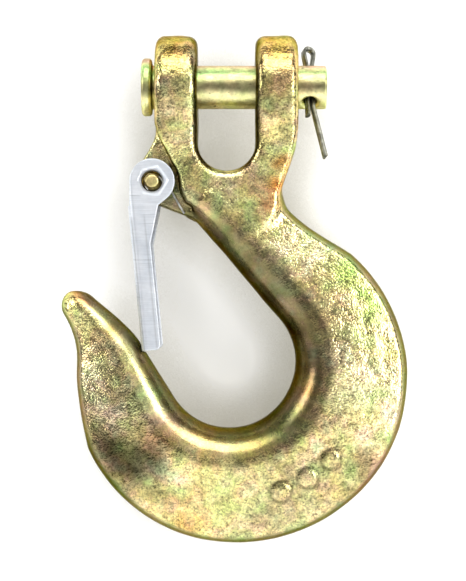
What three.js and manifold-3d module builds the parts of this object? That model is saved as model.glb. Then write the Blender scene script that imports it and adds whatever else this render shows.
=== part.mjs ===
// A forged clevis slip hook for a trailer's safety chain, with a sprung latch across its throat.
//
// Millimetres. The origin is the middle of the clevis pin. X runs along the pin, from its head to
// its cotter, Y runs through the hook's thickness, and Z points up, from the bowl to the clevis.
// Angles are in degrees.

import * as THREE from "three";
import { mergeVertices } from "three/addons/utils/BufferGeometryUtils.js";
import Module from "manifold-3d";

const wasm = await Module();
wasm.setup();

// ---------------------------------------------------------------- driving dimensions

// Clevis: two ears that stand on the neck, with a chain link's room between them.
const slotWidth = 17;
const slotDepth = 25; // from the pin's axis to the bottom of the slot
const earThickness = 12.3;
const earRadius = 15.1;
const edgeRound = 2.2; // rounding of the forging's edges
const neckThickness = 20;
const shoulderDrop = 19; // where the ears end and the clevis draws in to the neck
const shoulderRun = 6.5; // how far below that the outer edge keeps its course
const shoulderBulge = 2.6; // how far the edge stands out before it meets the shank
const neckInset = 3.4; // from the throat line to the neck's edge at its corner
const neckInsetLow = 6.4; // the same, further down the shank
const neckBackInset = 0.4; // from the shank's back edge
const neckBackInsetLow = 3;
const neckHeel = { x: -3.4, z: 1.6 }; // from the corner to the foot of the ear's outer face

// Clevis pin, with its cotter hole turned out of the vertical.
const pinDiameter = 12.7;
const pinPlay = 0.4; // radial, in the ears
const pinHeadDiameter = 17;
const pinHeadThickness = 3;
const pinHeadRound = 1.1;
const pinChamfer = 0.7;
const pinHeadGap = 1.1; // between the head and the ear
const pinTail = 8.6; // how far the plain end stands out of the ear
const pinTurn = 34;
const crossHoleDiameter = 3.6;
const crossHoleMouth = 5.2;
const crossHoleInset = 3.7; // from the ear to the hole's axis
const drillOverrun = 1;

// Cotter pin, made of half-round wire folded into an eye.
const cotterWidth = 2.3;
const cotterLegThickness = 1.1;
const cotterLegGap = 0.2;
const cotterEyeRadius = 1.4;
const cotterEyeReach = 8.4; // from the pin's surface to the middle of the wire at the top
const cotterEyeFoot = 0.6; // beyond the pin's surface, where the legs part into the eye
const cotterEyeEase = 2; // how sharply they leave each other there
const cotterEyeFlank = 2.4; // and how straight they come into the eye
const cotterBendRadius = 1;
const cotterShortLeg = 4.7; // beyond the pin's surface
const cotterLongLeg = 17.8;
const cotterBend = 11.5;
const cotterTurn = 24;

// Throat side of the hook: a straight shank, a round bowl and a straight point, then the beak.
const bowlRadius = 19.4;
const bowlOffset = 0.8; // bowl's centre, to the right of the pin's middle
const bowlDrop = 80.9; // bowl's centre, below the pin's axis
const shankLean = 41.4; // from the vertical
const shankLength = 40;
const pointLean = 31.5; // from the vertical
const pointLength = 18; // from the bowl to the latch's seat
const beakLength = 24.4; // from the latch's seat to the tip
const tipLength = 5.2; // the rounded end of the beak
const tipClosure = 0.96; // how much of its quarter turn the tip makes before it is closed
const faceDroop = 1.6; // how late the hook's faces fall away towards the back edge

// The hook's section: how far its sides are from the throat line, how far its thickest place is
// from its throat side, its greatest thickness, and the thickness and depth of its back edge. The
// place is 0 to 1 along the shank, 1 to 2 round the bowl, 2 to 3 on the point, 3 to 4 on the beak.
const sections = [
  { place: 0.0, inner: 0.5, outer: 13, crest: 8, thick: 20, edge: 18, band: 2.2 },
  { place: 0.34, inner: 0.5, outer: 24.4, crest: 8, thick: 20, edge: 17, band: 2.6 },
  { place: 0.45, inner: 0.4, outer: 23.3, crest: 8.5, thick: 20.5, edge: 16, band: 2.8 },
  { place: 1.0, inner: 0, outer: 28.6, crest: 9, thick: 22, edge: 14, band: 3 },
  { place: 1.2, inner: 0, outer: 32.6, crest: 9.3, thick: 23, edge: 14, band: 3 },
  { place: 1.42, inner: 0, outer: 35, crest: 9.5, thick: 23, edge: 14, band: 3 },
  { place: 1.75, inner: 0, outer: 33.4, crest: 9.5, thick: 23, edge: 14, band: 3 },
  { place: 2.0, inner: 0, outer: 29.4, crest: 9, thick: 21.5, edge: 13, band: 3 },
  { place: 3.0, inner: 0, outer: 22.2, crest: 7, thick: 18, edge: 11, band: 3 },
  { place: 3.4, inner: 1.9, outer: 16.6, crest: 6, thick: 15, edge: 10, band: 2.6 },
  { place: 3.79, inner: 4.9, outer: 14.9, crest: 4.4, thick: 12, edge: 9, band: 2.2 },
  { place: 4.0, inner: 6.1, outer: 14.9, crest: 4, thick: 10, edge: 8, band: 2 },
];

// Latch lug, a thin plate beside the neck, and the pin in it.
const pivotOutset = 0.8; // from the ear's outer face
const pivotDrop = 28.2; // below the clevis pin's axis
const lugThickness = 9.5;
const lugRadius = 5.7;
const lugEdgeRound = 0.8;
const lugRootAbove = { x: -4, z: 2 }; // where the lug's top edge ends in the ear
const lugRootBelow = { x: -1, z: 0.8 }; // where its underside meets the throat's corner
const lugRootDepth = 0.4;
const lugFootOuter = { along: 2, depth: 0.8 }; // where its foot lies in the shank
const lugFootInner = { along: 4, depth: 7 };
const latchPinDiameter = 4.8;
const latchPinPress = 0.3; // radial room between the pin and the lug
const latchPinDome = 0.7;
const latchPinSink = 0.1; // of the dome below the collar's face

// Latch, a channel of sheet with two round ears.
const sheet = 1.4;
const latchEarRadius = 6.6;
const latchHolePlay = 0.6; // radial, round the pin
const latchWebReach = 7.8; // from the pivot to the web's outer face
const latchWebTop = 6.5; // from the pivot down to the top of the web
const latchArmWidth = 5.7;
const latchArmWaist = 18; // from the pivot down to where the arm is straight
const latchShoulder = { x: 1.2, z: -7.1 }; // the corner between the ear and the arm
const latchOverlap = 2; // how far the arm runs past its seat
const latchCorner = 1.4;
const latchEarRoom = 1.3; // between the latch's ears and the neck
const pocketTopTurn = 42; // the pocket's round wall, from here
const pocketFootTurn = -20; // to here
const pocketMargin = 1.2; // beside the throat's corner
const pocketDrop = 20; // below the throat's corner
const seatHeight = 12;
const latchSeatGap = 0.3;
const collarRadius = 4.3;
const collarHeight = 0.6;
const collarSides = 6;

// Latch spring, one wire with a coil on each side of the lug.
const springWire = 0.7;
const springCoilRadius = 3.4;
const springTurns = 2;
const springPitch = 0.85;
const springGap = 0.3; // from the lug, the latch's ears and its web
const springSpare = 0.4; // turns of pitch kept free beside each coil
const springBridgeDrop = 12.5; // from the pivot down to where the wire crosses the web
const springLegClearance = 0.6; // from the wire's axis to the neck's corner
const springLegEnd = { x: -0.6, z: 0.6 }; // how far short of the corner the free leg stops
const springBridgeBend = 1.2;

// How finely curves are cut, in straight pieces.
const roundSteps = 40;
const boreSteps = 24;
const latchHoleSteps = 32;
const plateCurveSteps = 16;
const earCurveSteps = 20;
const cheekCurveSteps = 14;
const bevelSteps = 3;
const headRoundSteps = 3;
const runSteps = 50;
const tipSteps = 6;
const innerSteps = 6;
const faceSteps = 4;
const bandSteps = 4;
const cotterSteps = 52;
const cotterSectionSteps = 5;
const domeSteps = 3;
const springLegSteps = 4;
const springTurnSteps = 20;
const springSpareSteps = 8;
const springTailPlaces = [0.3, 0.6, 0.9];
const springSweepSteps = 130;
const springSectionSteps = 3;
const weldDistance = 1e-4;

// ---------------------------------------------------------------- derived places

const rad = THREE.MathUtils.degToRad;
const earInner = slotWidth / 2;
const earOuter = earInner + earThickness;
const neckHalf = neckThickness / 2;
const lugHalf = lugThickness / 2;
const pinRadius = pinDiameter / 2;
const latchPinRadius = latchPinDiameter / 2;
const pivot = { x: -(earOuter + pivotOutset), z: -pivotDrop };
const springInnerSide = lugHalf + springGap + springWire / 2;
const bowl = { x: bowlOffset, z: -bowlDrop };

// ---------------------------------------------------------------- solids

function toSolid(geometry) {
  const bare = geometry.clone();
  bare.deleteAttribute("normal");
  bare.deleteAttribute("uv");
  const merged = mergeVertices(bare, weldDistance);
  const corners = merged.index.array;
  const triangles = [];
  for (let t = 0; t < corners.length; t += 3) {
    const [a, b, c] = corners.slice(t, t + 3);
    if (a !== b && b !== c && c !== a) triangles.push(a, b, c);
  }
  const mesh = new wasm.Mesh({
    numProp: 3,
    vertProperties: new Float32Array(merged.attributes.position.array),
    triVerts: new Uint32Array(triangles),
  });
  return new wasm.Manifold(mesh);
}

function toGeometry(solid) {
  const mesh = solid.getMesh();
  const geometry = new THREE.BufferGeometry();
  geometry.setAttribute("position", new THREE.BufferAttribute(mesh.vertProperties, 3));
  geometry.setIndex(new THREE.BufferAttribute(mesh.triVerts, 1));
  geometry.computeVertexNormals();
  return geometry;
}

// A shape drawn in X and Z becomes a plate that runs from y = back to y = back + depth.
function plateAlongY(shape, back, depth, options = {}) {
  const bevel = options.bevel ?? 0;
  const geometry = new THREE.ExtrudeGeometry(shape, {
    depth: depth - 2 * bevel,
    bevelEnabled: bevel > 0,
    bevelThickness: bevel,
    bevelSize: bevel,
    bevelOffset: -bevel,
    bevelSegments: bevelSteps,
    curveSegments: options.curveSegments ?? plateCurveSteps,
  });
  geometry.rotateX(Math.PI / 2);
  geometry.translate(0, back + depth - bevel, 0);
  return geometry;
}

// A shape drawn in Y and Z becomes a plate that runs from x = left to x = left + depth.
function plateAlongX(shape, left, depth, bevel) {
  const geometry = new THREE.ExtrudeGeometry(shape, {
    depth: depth - 2 * bevel,
    bevelEnabled: true,
    bevelThickness: bevel,
    bevelSize: bevel,
    bevelOffset: -bevel,
    bevelSegments: bevelSteps,
    curveSegments: earCurveSteps,
  });
  geometry.applyMatrix4(new THREE.Matrix4().set(0, 0, 1, 0, 1, 0, 0, 0, 0, 1, 0, 0, 0, 0, 0, 1));
  geometry.translate(left + bevel, 0, 0);
  return geometry;
}

// A turned body whose axis is Y: the profile's x is the radius and its y is the place on the axis.
function turned(profile, segments) {
  const points = profile.map(([radius, place]) => new THREE.Vector2(radius, place));
  return new THREE.LatheGeometry(points, segments);
}

function rodAlongY(radius, halfLength, segments) {
  return turned([[0, -halfLength], [radius, -halfLength], [radius, halfLength], [0, halfLength]], segments);
}

// Where a line from a point outside a circle touches it. The side is 1 or -1.
function tangentAngle(point, radius, side) {
  const distance = Math.hypot(point.x, point.z);
  return Math.atan2(point.z, point.x) + side * Math.acos(radius / distance);
}

// ---------------------------------------------------------------- throat line

const shankAngle = rad(shankLean);
const pointAngle = rad(pointLean) - Math.PI;
const bowlLength = bowlRadius * (shankAngle - pointAngle);
const runs = [shankLength, bowlLength, pointLength, beakLength];
const runStarts = [0, shankLength, shankLength + bowlLength, shankLength + bowlLength + pointLength];

function distanceAt(place) {
  const run = Math.min(Math.floor(place), runs.length - 1);
  return runStarts[run] + (place - run) * runs[run];
}

// The throat line's point at a distance from the neck, and the direction from there into the metal.
function throatAt(distance) {
  const onBowl = Math.min(Math.max(distance - runStarts[1], 0), bowlLength);
  const angle = shankAngle - onBowl / bowlRadius;
  const along = distance < runStarts[1] ? distance - runStarts[1] : Math.max(distance - runStarts[2], 0);
  const into = { x: Math.cos(angle), z: Math.sin(angle) };
  return {
    x: bowl.x + bowlRadius * into.x + along * into.z,
    z: bowl.z + bowlRadius * into.z - along * into.x,
    into,
  };
}

function pointOff(distance, depth) {
  const line = throatAt(distance);
  return { x: line.x + depth * line.into.x, z: line.z + depth * line.into.z };
}

// ---------------------------------------------------------------- latch's place at rest

// The latch's own frame has the pivot at its origin and the web's outer face at x = -latchWebReach.
const seat = pointOff(distanceAt(3), 0);
const seatFromPivot = { x: seat.x - pivot.x, z: seat.z - pivot.z };
const seatDistance = Math.hypot(seatFromPivot.x, seatFromPivot.z);
const seatAngle = Math.atan2(seatFromPivot.x, -seatFromPivot.z);
const latchTurn = Math.asin((latchWebReach + latchSeatGap) / seatDistance) + seatAngle;
const latchLength = seatDistance * Math.cos(latchTurn - seatAngle) + latchOverlap;
const coilLength = springPitch * (springTurns + springSpare);
const latchInnerHalf = springInnerSide + coilLength + springWire / 2 + springGap;
const latchOuterHalf = latchInnerHalf + sheet;

// A point of the latch's frame, seen in a frame at the pivot that isn't turned with the latch.
function fromLatch(x, z) {
  return {
    x: x * Math.cos(latchTurn) - z * Math.sin(latchTurn),
    z: x * Math.sin(latchTurn) + z * Math.cos(latchTurn),
  };
}

// ---------------------------------------------------------------- hook body

const stations = sections.map((section) => ({ ...section, distance: distanceAt(section.place) }));

// A smooth curve through the stations' values: a cubic in each span, with three-point slopes.
function sectionValue(key, distance) {
  const last = stations.length - 1;
  const rise = (i) => {
    const a = stations[i];
    const b = stations[i + 1];
    return (b[key] - a[key]) / (b.distance - a.distance);
  };
  const slope = (i) => {
    if (i === 0) return rise(0);
    if (i === last) return rise(last - 1);
    return rise(i - 1) * rise(i) > 0 ? (rise(i - 1) + rise(i)) / 2 : 0;
  };
  let i = 0;
  while (i < last - 1 && distance > stations[i + 1].distance) i += 1;
  const span = stations[i + 1].distance - stations[i].distance;
  const t = Math.min(Math.max((distance - stations[i].distance) / span, 0), 1);
  const start = stations[i][key] * (1 + 2 * t) * (1 - t) ** 2 + slope(i) * span * t * (1 - t) ** 2;
  const end = stations[i + 1][key] * t * t * (3 - 2 * t) - slope(i + 1) * span * t * t * (1 - t);
  return start + end;
}

// One side of the section, as [depth from the throat line, half thickness], from throat to back.
function sectionProfile(distance) {
  const value = (key) => sectionValue(key, distance);
  const half = value("thick") / 2;
  const edge = value("edge") / 2;
  const crestDepth = value("inner") + value("crest");
  const bandDepth = value("outer") - value("band");
  const profile = [];
  for (let k = 0; k <= innerSteps; k += 1) {
    const turn = (k / innerSteps) * (Math.PI / 2);
    profile.push([crestDepth - value("crest") * Math.cos(turn), half * Math.sin(turn)]);
  }
  for (let k = 1; k <= faceSteps; k += 1) {
    const share = k / faceSteps;
    profile.push([crestDepth + (bandDepth - crestDepth) * share, half - (half - edge) * share ** faceDroop]);
  }
  for (let k = 1; k <= bandSteps; k += 1) {
    const turn = (k / bandSteps) * (Math.PI / 2);
    profile.push([bandDepth + value("band") * Math.sin(turn), edge * Math.cos(turn)]);
  }
  return profile;
}

// A closed ring of points round the hook. In the tip it shrinks towards its own middle.
function sectionRing(distance, shrink) {
  const profile = sectionProfile(distance);
  const middle = (sectionValue("inner", distance) + sectionValue("outer", distance)) / 2;
  const scaled = profile.map(([depth, y]) => [middle + (depth - middle) * shrink, y * shrink]);
  const front = scaled.map(([depth, y]) => [depth, -y]);
  const back = scaled.slice(1, -1).reverse();
  return [...front, ...back].map(([depth, y]) => {
    const place = pointOff(distance, depth);
    return new THREE.Vector3(place.x, y, place.z);
  });
}

// A skin over a row of rings with the same number of points, closed at both ends.
function loft(rings) {
  const count = rings[0].length;
  const points = rings.flat();
  const index = [];
  for (let r = 0; r + 1 < rings.length; r += 1) {
    for (let k = 0; k < count; k += 1) {
      const a = r * count + k;
      const b = r * count + ((k + 1) % count);
      index.push(a, b + count, b, a, a + count, b + count);
    }
  }
  const ends = [
    { ring: 0, flip: false },
    { ring: rings.length - 1, flip: true },
  ];
  for (const { ring, flip } of ends) {
    const middle = rings[ring].reduce((sum, p) => sum.add(p), new THREE.Vector3()).divideScalar(count);
    const centre = points.push(middle) - 1;
    for (let k = 0; k < count; k += 1) {
      const a = ring * count + k;
      const b = ring * count + ((k + 1) % count);
      index.push(...(flip ? [centre, b, a] : [centre, a, b]));
    }
  }
  const geometry = new THREE.BufferGeometry().setFromPoints(points);
  geometry.setIndex(index);
  return geometry;
}

function hookRun() {
  const total = distanceAt(4);
  const tipStart = total - tipLength;
  const rings = [];
  for (let k = 0; k <= runSteps; k += 1) {
    rings.push(sectionRing((tipStart * k) / runSteps, 1));
  }
  for (let k = 1; k <= tipSteps; k += 1) {
    const turn = (k / tipSteps) * (Math.PI / 2) * tipClosure;
    rings.push(sectionRing(tipStart + tipLength * Math.sin(turn), Math.cos(turn)));
  }
  return toSolid(loft(rings));
}

// The ear's outline from the side: a disc about the pin that draws in to the neck.
function earOutline() {
  const foot = { x: neckHalf, z: -shoulderDrop };
  const touch = tangentAngle(foot, earRadius, 1);
  const shape = new THREE.Shape();
  shape.moveTo(foot.x, foot.z);
  shape.lineTo(earRadius * Math.cos(touch), earRadius * Math.sin(touch));
  shape.absarc(0, 0, earRadius, touch, Math.PI - touch, false);
  shape.lineTo(-foot.x, foot.z);
  shape.closePath();
  return shape;
}

// The neck from the front: a U under the slot, drawn in to the hook's run.
function neckOutline() {
  const upper = sections[1];
  const lower = sections[2];
  const right = pointOff(distanceAt(upper.place), upper.outer - neckBackInset);
  const corner = pointOff(0, neckInset);
  const low = pointOff(distanceAt(lower.place), neckInsetLow);
  const lowRight = pointOff(distanceAt(lower.place), lower.outer - neckBackInsetLow);
  const slotCentre = earInner - slotDepth;
  const top = slotCentre + 2 * edgeRound;
  const shape = new THREE.Shape();
  shape.moveTo(-earOuter, top);
  shape.lineTo(corner.x + neckHeel.x, corner.z + neckHeel.z);
  shape.lineTo(corner.x, corner.z);
  shape.lineTo(low.x, low.z);
  shape.lineTo(lowRight.x, lowRight.z);
  shape.lineTo(right.x, right.z);
  shape.quadraticCurveTo(right.x + shoulderBulge, -shoulderDrop - shoulderRun, earOuter, -shoulderDrop);
  shape.lineTo(earOuter, top);
  shape.lineTo(earInner, top);
  shape.absarc(0, slotCentre, earInner, 0, -Math.PI, true);
  shape.lineTo(-earInner, top);
  shape.closePath();
  return shape;
}

// Room beside the neck for the latch's ears: a round pocket, open to the outside.
function pocketOutline() {
  const reach = latchEarRadius + latchEarRoom;
  const corner = pointOff(0, 0);
  const far = pivot.x - 2 * reach;
  const top = -(earRadius - edgeRound);
  const start = rad(pocketTopTurn);
  const end = rad(pocketFootTurn);
  const shape = new THREE.Shape();
  shape.moveTo(far, top);
  shape.lineTo(-earOuter, top);
  shape.lineTo(pivot.x + reach * Math.cos(start), pivot.z + reach * Math.sin(start));
  shape.absarc(pivot.x, pivot.z, reach, start, end, true);
  shape.lineTo(corner.x - pocketMargin, corner.z + pocketMargin);
  shape.lineTo(corner.x - pocketMargin, corner.z - pocketDrop);
  shape.lineTo(far, corner.z - pocketDrop);
  shape.closePath();
  return shape;
}

// The lug: a round end about the latch's pivot, with straight sides that run into the neck.
function lugOutline() {
  const top = { x: -earOuter - pivot.x, z: -earRadius - pivot.z };
  const corner = pointOff(0, lugRootDepth);
  const under = { x: corner.x - pivot.x + lugRootBelow.x, z: corner.z - pivot.z + lugRootBelow.z };
  const onThroat = pointOff(lugFootOuter.along, lugFootOuter.depth);
  const inThroat = pointOff(lugFootInner.along, lugFootInner.depth);
  const topTouch = tangentAngle(top, lugRadius, 1);
  const underTouch = tangentAngle(under, lugRadius, -1);
  const shape = new THREE.Shape();
  shape.moveTo(-earInner + lugRootAbove.x, top.z + pivot.z + lugRootAbove.z);
  shape.lineTo(-earOuter, top.z + pivot.z);
  shape.absarc(pivot.x, pivot.z, lugRadius, topTouch, underTouch + 2 * Math.PI, false);
  shape.lineTo(onThroat.x, onThroat.z);
  shape.lineTo(inThroat.x, inThroat.z);
  shape.closePath();
  return shape;
}

// The notch in the point's throat side that the latch's web shuts against.
function seatOutline() {
  const face = -latchWebReach - latchSeatGap;
  const shelf = -latchLength - latchSeatGap;
  const top = shelf + seatHeight;
  const corners = [fromLatch(face, shelf), fromLatch(0, shelf), fromLatch(0, top), fromLatch(face, top)];
  return new THREE.Shape(corners.map((corner) => new THREE.Vector2(pivot.x + corner.x, pivot.z + corner.z)));
}

function hookBody() {
  const pinHole = rodAlongY(pinRadius + pinPlay, 2 * earOuter, roundSteps);
  pinHole.rotateZ(-Math.PI / 2);
  const latchPinHole = rodAlongY(latchPinRadius + latchPinPress, neckThickness, boreSteps);
  latchPinHole.translate(pivot.x, 0, pivot.z);
  const pocket = toSolid(plateAlongY(pocketOutline(), lugHalf, earRadius));
  const pocketBehind = pocket.mirror([0, 1, 0]);

  const leftEar = toSolid(plateAlongX(earOutline(), -earOuter, earThickness, edgeRound));
  const rightEar = toSolid(plateAlongX(earOutline(), earInner, earThickness, edgeRound));
  const neck = toSolid(plateAlongY(neckOutline(), -neckHalf, neckThickness, { bevel: edgeRound }));
  const lug = toSolid(plateAlongY(lugOutline(), -lugHalf, lugThickness, { bevel: lugEdgeRound }));
  const seatNotch = toSolid(plateAlongY(seatOutline(), -neckThickness, 2 * neckThickness));
  const run = hookRun().subtract(seatNotch);
  const thick = leftEar.add(rightEar).add(neck).add(run).subtract(pocket).subtract(pocketBehind);
  return toGeometry(thick.add(lug).subtract(toSolid(pinHole)).subtract(toSolid(latchPinHole)));
}

// ---------------------------------------------------------------- clevis pin and cotter

const crossHoleX = earOuter + crossHoleInset;

function clevisPin() {
  const headLeft = -earOuter - pinHeadGap - pinHeadThickness;
  const headRight = -earOuter - pinHeadGap;
  const tailEnd = earOuter + pinTail;
  const headRadius = pinHeadDiameter / 2;
  const profile = [[0, headLeft]];
  for (let k = 0; k <= headRoundSteps; k += 1) {
    const turn = (k / headRoundSteps) * (Math.PI / 2);
    profile.push([
      headRadius - pinHeadRound * (1 - Math.sin(turn)),
      headLeft + pinHeadRound * (1 - Math.cos(turn)),
    ]);
  }
  profile.push(
    [headRadius, headRight - pinHeadRound / 2],
    [headRadius - pinHeadRound / 2, headRight],
    [pinRadius, headRight],
    [pinRadius, tailEnd - pinChamfer],
    [pinRadius - pinChamfer, tailEnd],
    [0, tailEnd],
  );
  const blank = turned(profile, roundSteps);
  blank.rotateZ(-Math.PI / 2);

  const holeRadius = crossHoleDiameter / 2;
  const mouthRadius = crossHoleMouth / 2;
  const mouthDepth = mouthRadius - holeRadius;
  const outside = pinRadius + drillOverrun;
  const drillProfile = [
    [0, -outside],
    [mouthRadius, -outside],
    [mouthRadius, mouthDepth - pinRadius],
    [holeRadius, 2 * mouthDepth - pinRadius],
    [holeRadius, pinRadius - 2 * mouthDepth],
    [mouthRadius, pinRadius - mouthDepth],
    [mouthRadius, outside],
    [0, outside],
  ];
  const drill = turned(drillProfile, boreSteps);
  drill.rotateX(Math.PI / 2);
  drill.translate(crossHoleX, 0, 0);
  return toGeometry(toSolid(blank).subtract(toSolid(drill)));
}

// The cotter lies in its own X and Z: Z along the hole, X across the two legs.
function cotterPin() {
  const legX = (cotterLegGap + cotterLegThickness) / 2;
  const bend = rad(cotterBend);
  const bendZ = -pinRadius - cotterBendRadius;
  const longTip = {
    x: legX + cotterLongLeg * Math.sin(bend),
    z: bendZ - cotterLongLeg * Math.cos(bend),
  };
  const eyeCentreZ = pinRadius + cotterEyeReach - cotterEyeRadius;
  const eyeFootZ = pinRadius + cotterEyeFoot;
  const line = new THREE.Path();
  line.moveTo(longTip.x, longTip.z);
  line.lineTo(legX + cotterBendRadius * Math.sin(bend), bendZ - cotterBendRadius * Math.cos(bend));
  line.quadraticCurveTo(legX, bendZ, legX, bendZ + cotterBendRadius);
  line.lineTo(legX, eyeFootZ);
  const easeZ = eyeFootZ + cotterEyeEase;
  const flankZ = eyeCentreZ - cotterEyeFlank;
  line.bezierCurveTo(legX, easeZ, cotterEyeRadius, flankZ, cotterEyeRadius, eyeCentreZ);
  line.absarc(0, eyeCentreZ, cotterEyeRadius, 0, Math.PI, false);
  line.bezierCurveTo(-cotterEyeRadius, flankZ, -legX, easeZ, -legX, eyeFootZ);
  line.lineTo(-legX, -pinRadius - cotterShortLeg);
  const spaced = line.getSpacedPoints(cotterSteps).map((p) => new THREE.Vector3(p.x, 0, p.y));

  const halfWidth = cotterWidth / 2;
  const flat = -cotterLegThickness / 2;
  const section = new THREE.Shape();
  section.moveTo(halfWidth, flat);
  section.absellipse(0, flat, halfWidth, cotterLegThickness, 0, Math.PI, false);
  section.closePath();
  return new THREE.ExtrudeGeometry(section, {
    extrudePath: new THREE.CatmullRomCurve3(spaced),
    steps: cotterSteps,
    curveSegments: cotterSectionSteps,
    bevelEnabled: false,
  });
}

// ---------------------------------------------------------------- latch

function cheekOutline() {
  const left = -latchWebReach;
  const right = left + latchArmWidth;
  const bottom = -latchLength;
  const shoulder = tangentAngle(latchShoulder, latchEarRadius, 1);
  const leftTouch = Math.PI - latchTurn;
  const shape = new THREE.Shape();
  shape.moveTo(left, -latchWebTop);
  shape.lineTo(left, bottom);
  shape.lineTo(right - latchCorner, bottom);
  shape.absarc(right - latchCorner, bottom + latchCorner, latchCorner, -Math.PI / 2, 0, false);
  shape.lineTo(right, -latchArmWaist);
  shape.lineTo(latchShoulder.x, latchShoulder.z);
  shape.absarc(0, 0, latchEarRadius, shoulder, leftTouch, false);
  const drop = (latchEarRadius * Math.sin(leftTouch) + latchWebTop) / Math.cos(latchTurn);
  shape.lineTo(
    latchEarRadius * Math.cos(leftTouch) - drop * Math.sin(latchTurn),
    -latchWebTop,
  );
  shape.closePath();
  return shape;
}

function latch() {
  const web = new THREE.Shape();
  web.moveTo(-latchWebReach, -latchWebTop);
  web.lineTo(-latchWebReach, -latchLength);
  web.lineTo(-latchWebReach + sheet, -latchLength);
  web.lineTo(-latchWebReach + sheet, -latchWebTop);
  web.closePath();
  const collar = new THREE.CylinderGeometry(collarRadius, collarRadius, sheet + collarHeight, collarSides);
  collar.translate(0, latchOuterHalf + (collarHeight - sheet) / 2, 0);
  const hole = rodAlongY(latchPinRadius + latchHolePlay, 2 * latchOuterHalf, latchHoleSteps);

  const cheekPlate = plateAlongY(cheekOutline(), latchInnerHalf, sheet, { curveSegments: cheekCurveSteps });
  const cheek = toSolid(cheekPlate);
  const side = cheek.add(toSolid(collar));
  const channel = side
    .add(side.mirror([0, 1, 0]))
    .add(toSolid(plateAlongY(web, -latchOuterHalf, 2 * latchOuterHalf)));
  return toGeometry(channel.subtract(toSolid(hole)));
}

function latchPin() {
  const end = latchOuterHalf + collarHeight - latchPinSink;
  const profile = [[0, -end]];
  for (let k = 1; k <= domeSteps; k += 1) {
    const turn = (k / domeSteps) * (Math.PI / 2);
    profile.push([latchPinRadius * Math.sin(turn), -end + latchPinDome * (1 - Math.cos(turn))]);
  }
  const mirrored = profile.map(([r, place]) => [r, -place]).reverse();
  return turned([...profile, ...mirrored], boreSteps);
}

// ---------------------------------------------------------------- latch spring

// The wire's axis on one side of the lug, from its free leg to the middle of the latch's web.
function springHalf(side) {
  const corner = pointOff(0, 0);
  const legEnd = {
    x: corner.x - pivot.x - springLegClearance + springLegEnd.x,
    z: corner.z - pivot.z + springLegEnd.z,
  };
  const bridge = fromLatch(-latchWebReach + sheet + springGap + springWire / 2, -springBridgeDrop);
  const start = tangentAngle(legEnd, springCoilRadius, 1);
  const leave = tangentAngle(bridge, springCoilRadius, -1) + 2 * Math.PI;
  const sweep = leave - start + 2 * Math.PI * springTurns;
  const outerSide = springInnerSide + (springPitch * sweep) / (2 * Math.PI);
  const points = [];
  for (let k = 0; k < springLegSteps; k += 1) {
    const t = k / springLegSteps;
    points.push([
      legEnd.x + (springCoilRadius * Math.cos(start) - legEnd.x) * t,
      springInnerSide,
      legEnd.z + (springCoilRadius * Math.sin(start) - legEnd.z) * t,
    ]);
  }
  const coilSteps = springTurnSteps * springTurns + springSpareSteps;
  for (let k = 0; k <= coilSteps; k += 1) {
    const angle = start + (sweep * k) / coilSteps;
    points.push([
      springCoilRadius * Math.cos(angle),
      springInnerSide + ((outerSide - springInnerSide) * k) / coilSteps,
      springCoilRadius * Math.sin(angle),
    ]);
  }
  for (const t of springTailPlaces) {
    points.push([
      springCoilRadius * Math.cos(leave) * (1 - t) + bridge.x * t,
      outerSide,
      springCoilRadius * Math.sin(leave) * (1 - t) + bridge.z * t,
    ]);
  }
  points.push([bridge.x, outerSide - springBridgeBend, bridge.z]);
  points.push([bridge.x, outerSide / 2, bridge.z]);
  return points.map(([x, y, z]) => new THREE.Vector3(x, side * y, z));
}

function latchSpring() {
  const wire = new THREE.CatmullRomCurve3(
    [...springHalf(-1), ...springHalf(1).reverse()],
    false,
    "centripetal",
  );
  const section = new THREE.Shape();
  section.absarc(0, 0, springWire / 2, 0, 2 * Math.PI, false);
  return new THREE.ExtrudeGeometry(section, {
    extrudePath: wire,
    steps: springSweepSteps,
    curveSegments: springSectionSteps,
    bevelEnabled: false,
  });
}

// ---------------------------------------------------------------- assembly

const zincYellow = { color: 0xb5a45c, roughness: 0.42, metalness: 0.9 };
const zincBright = { color: 0xc9ced6, roughness: 0.3, metalness: 0.95 };
const plainSteel = { color: 0x77786f, roughness: 0.5, metalness: 0.9 };

function piece(name, geometry, finish) {
  const mesh = new THREE.Mesh(geometry, new THREE.MeshStandardMaterial(finish));
  mesh.name = name;
  return mesh;
}

const hook = new THREE.Group();
hook.add(piece("hook_body", hookBody(), zincYellow));

const pinGroup = new THREE.Group();
pinGroup.rotation.x = -rad(pinTurn);
pinGroup.add(piece("clevis_pin", clevisPin(), zincYellow));
const cotter = piece("cotter_pin", cotterPin(), plainSteel);
cotter.position.x = crossHoleX;
cotter.rotation.z = rad(cotterTurn);
pinGroup.add(cotter);
hook.add(pinGroup);

const pivotGroup = new THREE.Group();
pivotGroup.position.set(pivot.x, 0, pivot.z);
const latchMesh = piece("latch", latch(), zincBright);
latchMesh.rotation.y = -latchTurn;
pivotGroup.add(latchMesh);
pivotGroup.add(piece("latch_pin", latchPin(), zincYellow));
pivotGroup.add(piece("latch_spring", latchSpring(), plainSteel));
hook.add(pivotGroup);

export default hook;
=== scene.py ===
"""A forged clevis slip hook with a sprung latch: the looks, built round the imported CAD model.

Shapes are worked out in millimetres in the CAD model's frame and stored in metres. The solid pieces are
distance fields, negative inside, that are skinned with a fine net of quads.
"""

import math
from types import SimpleNamespace

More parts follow.
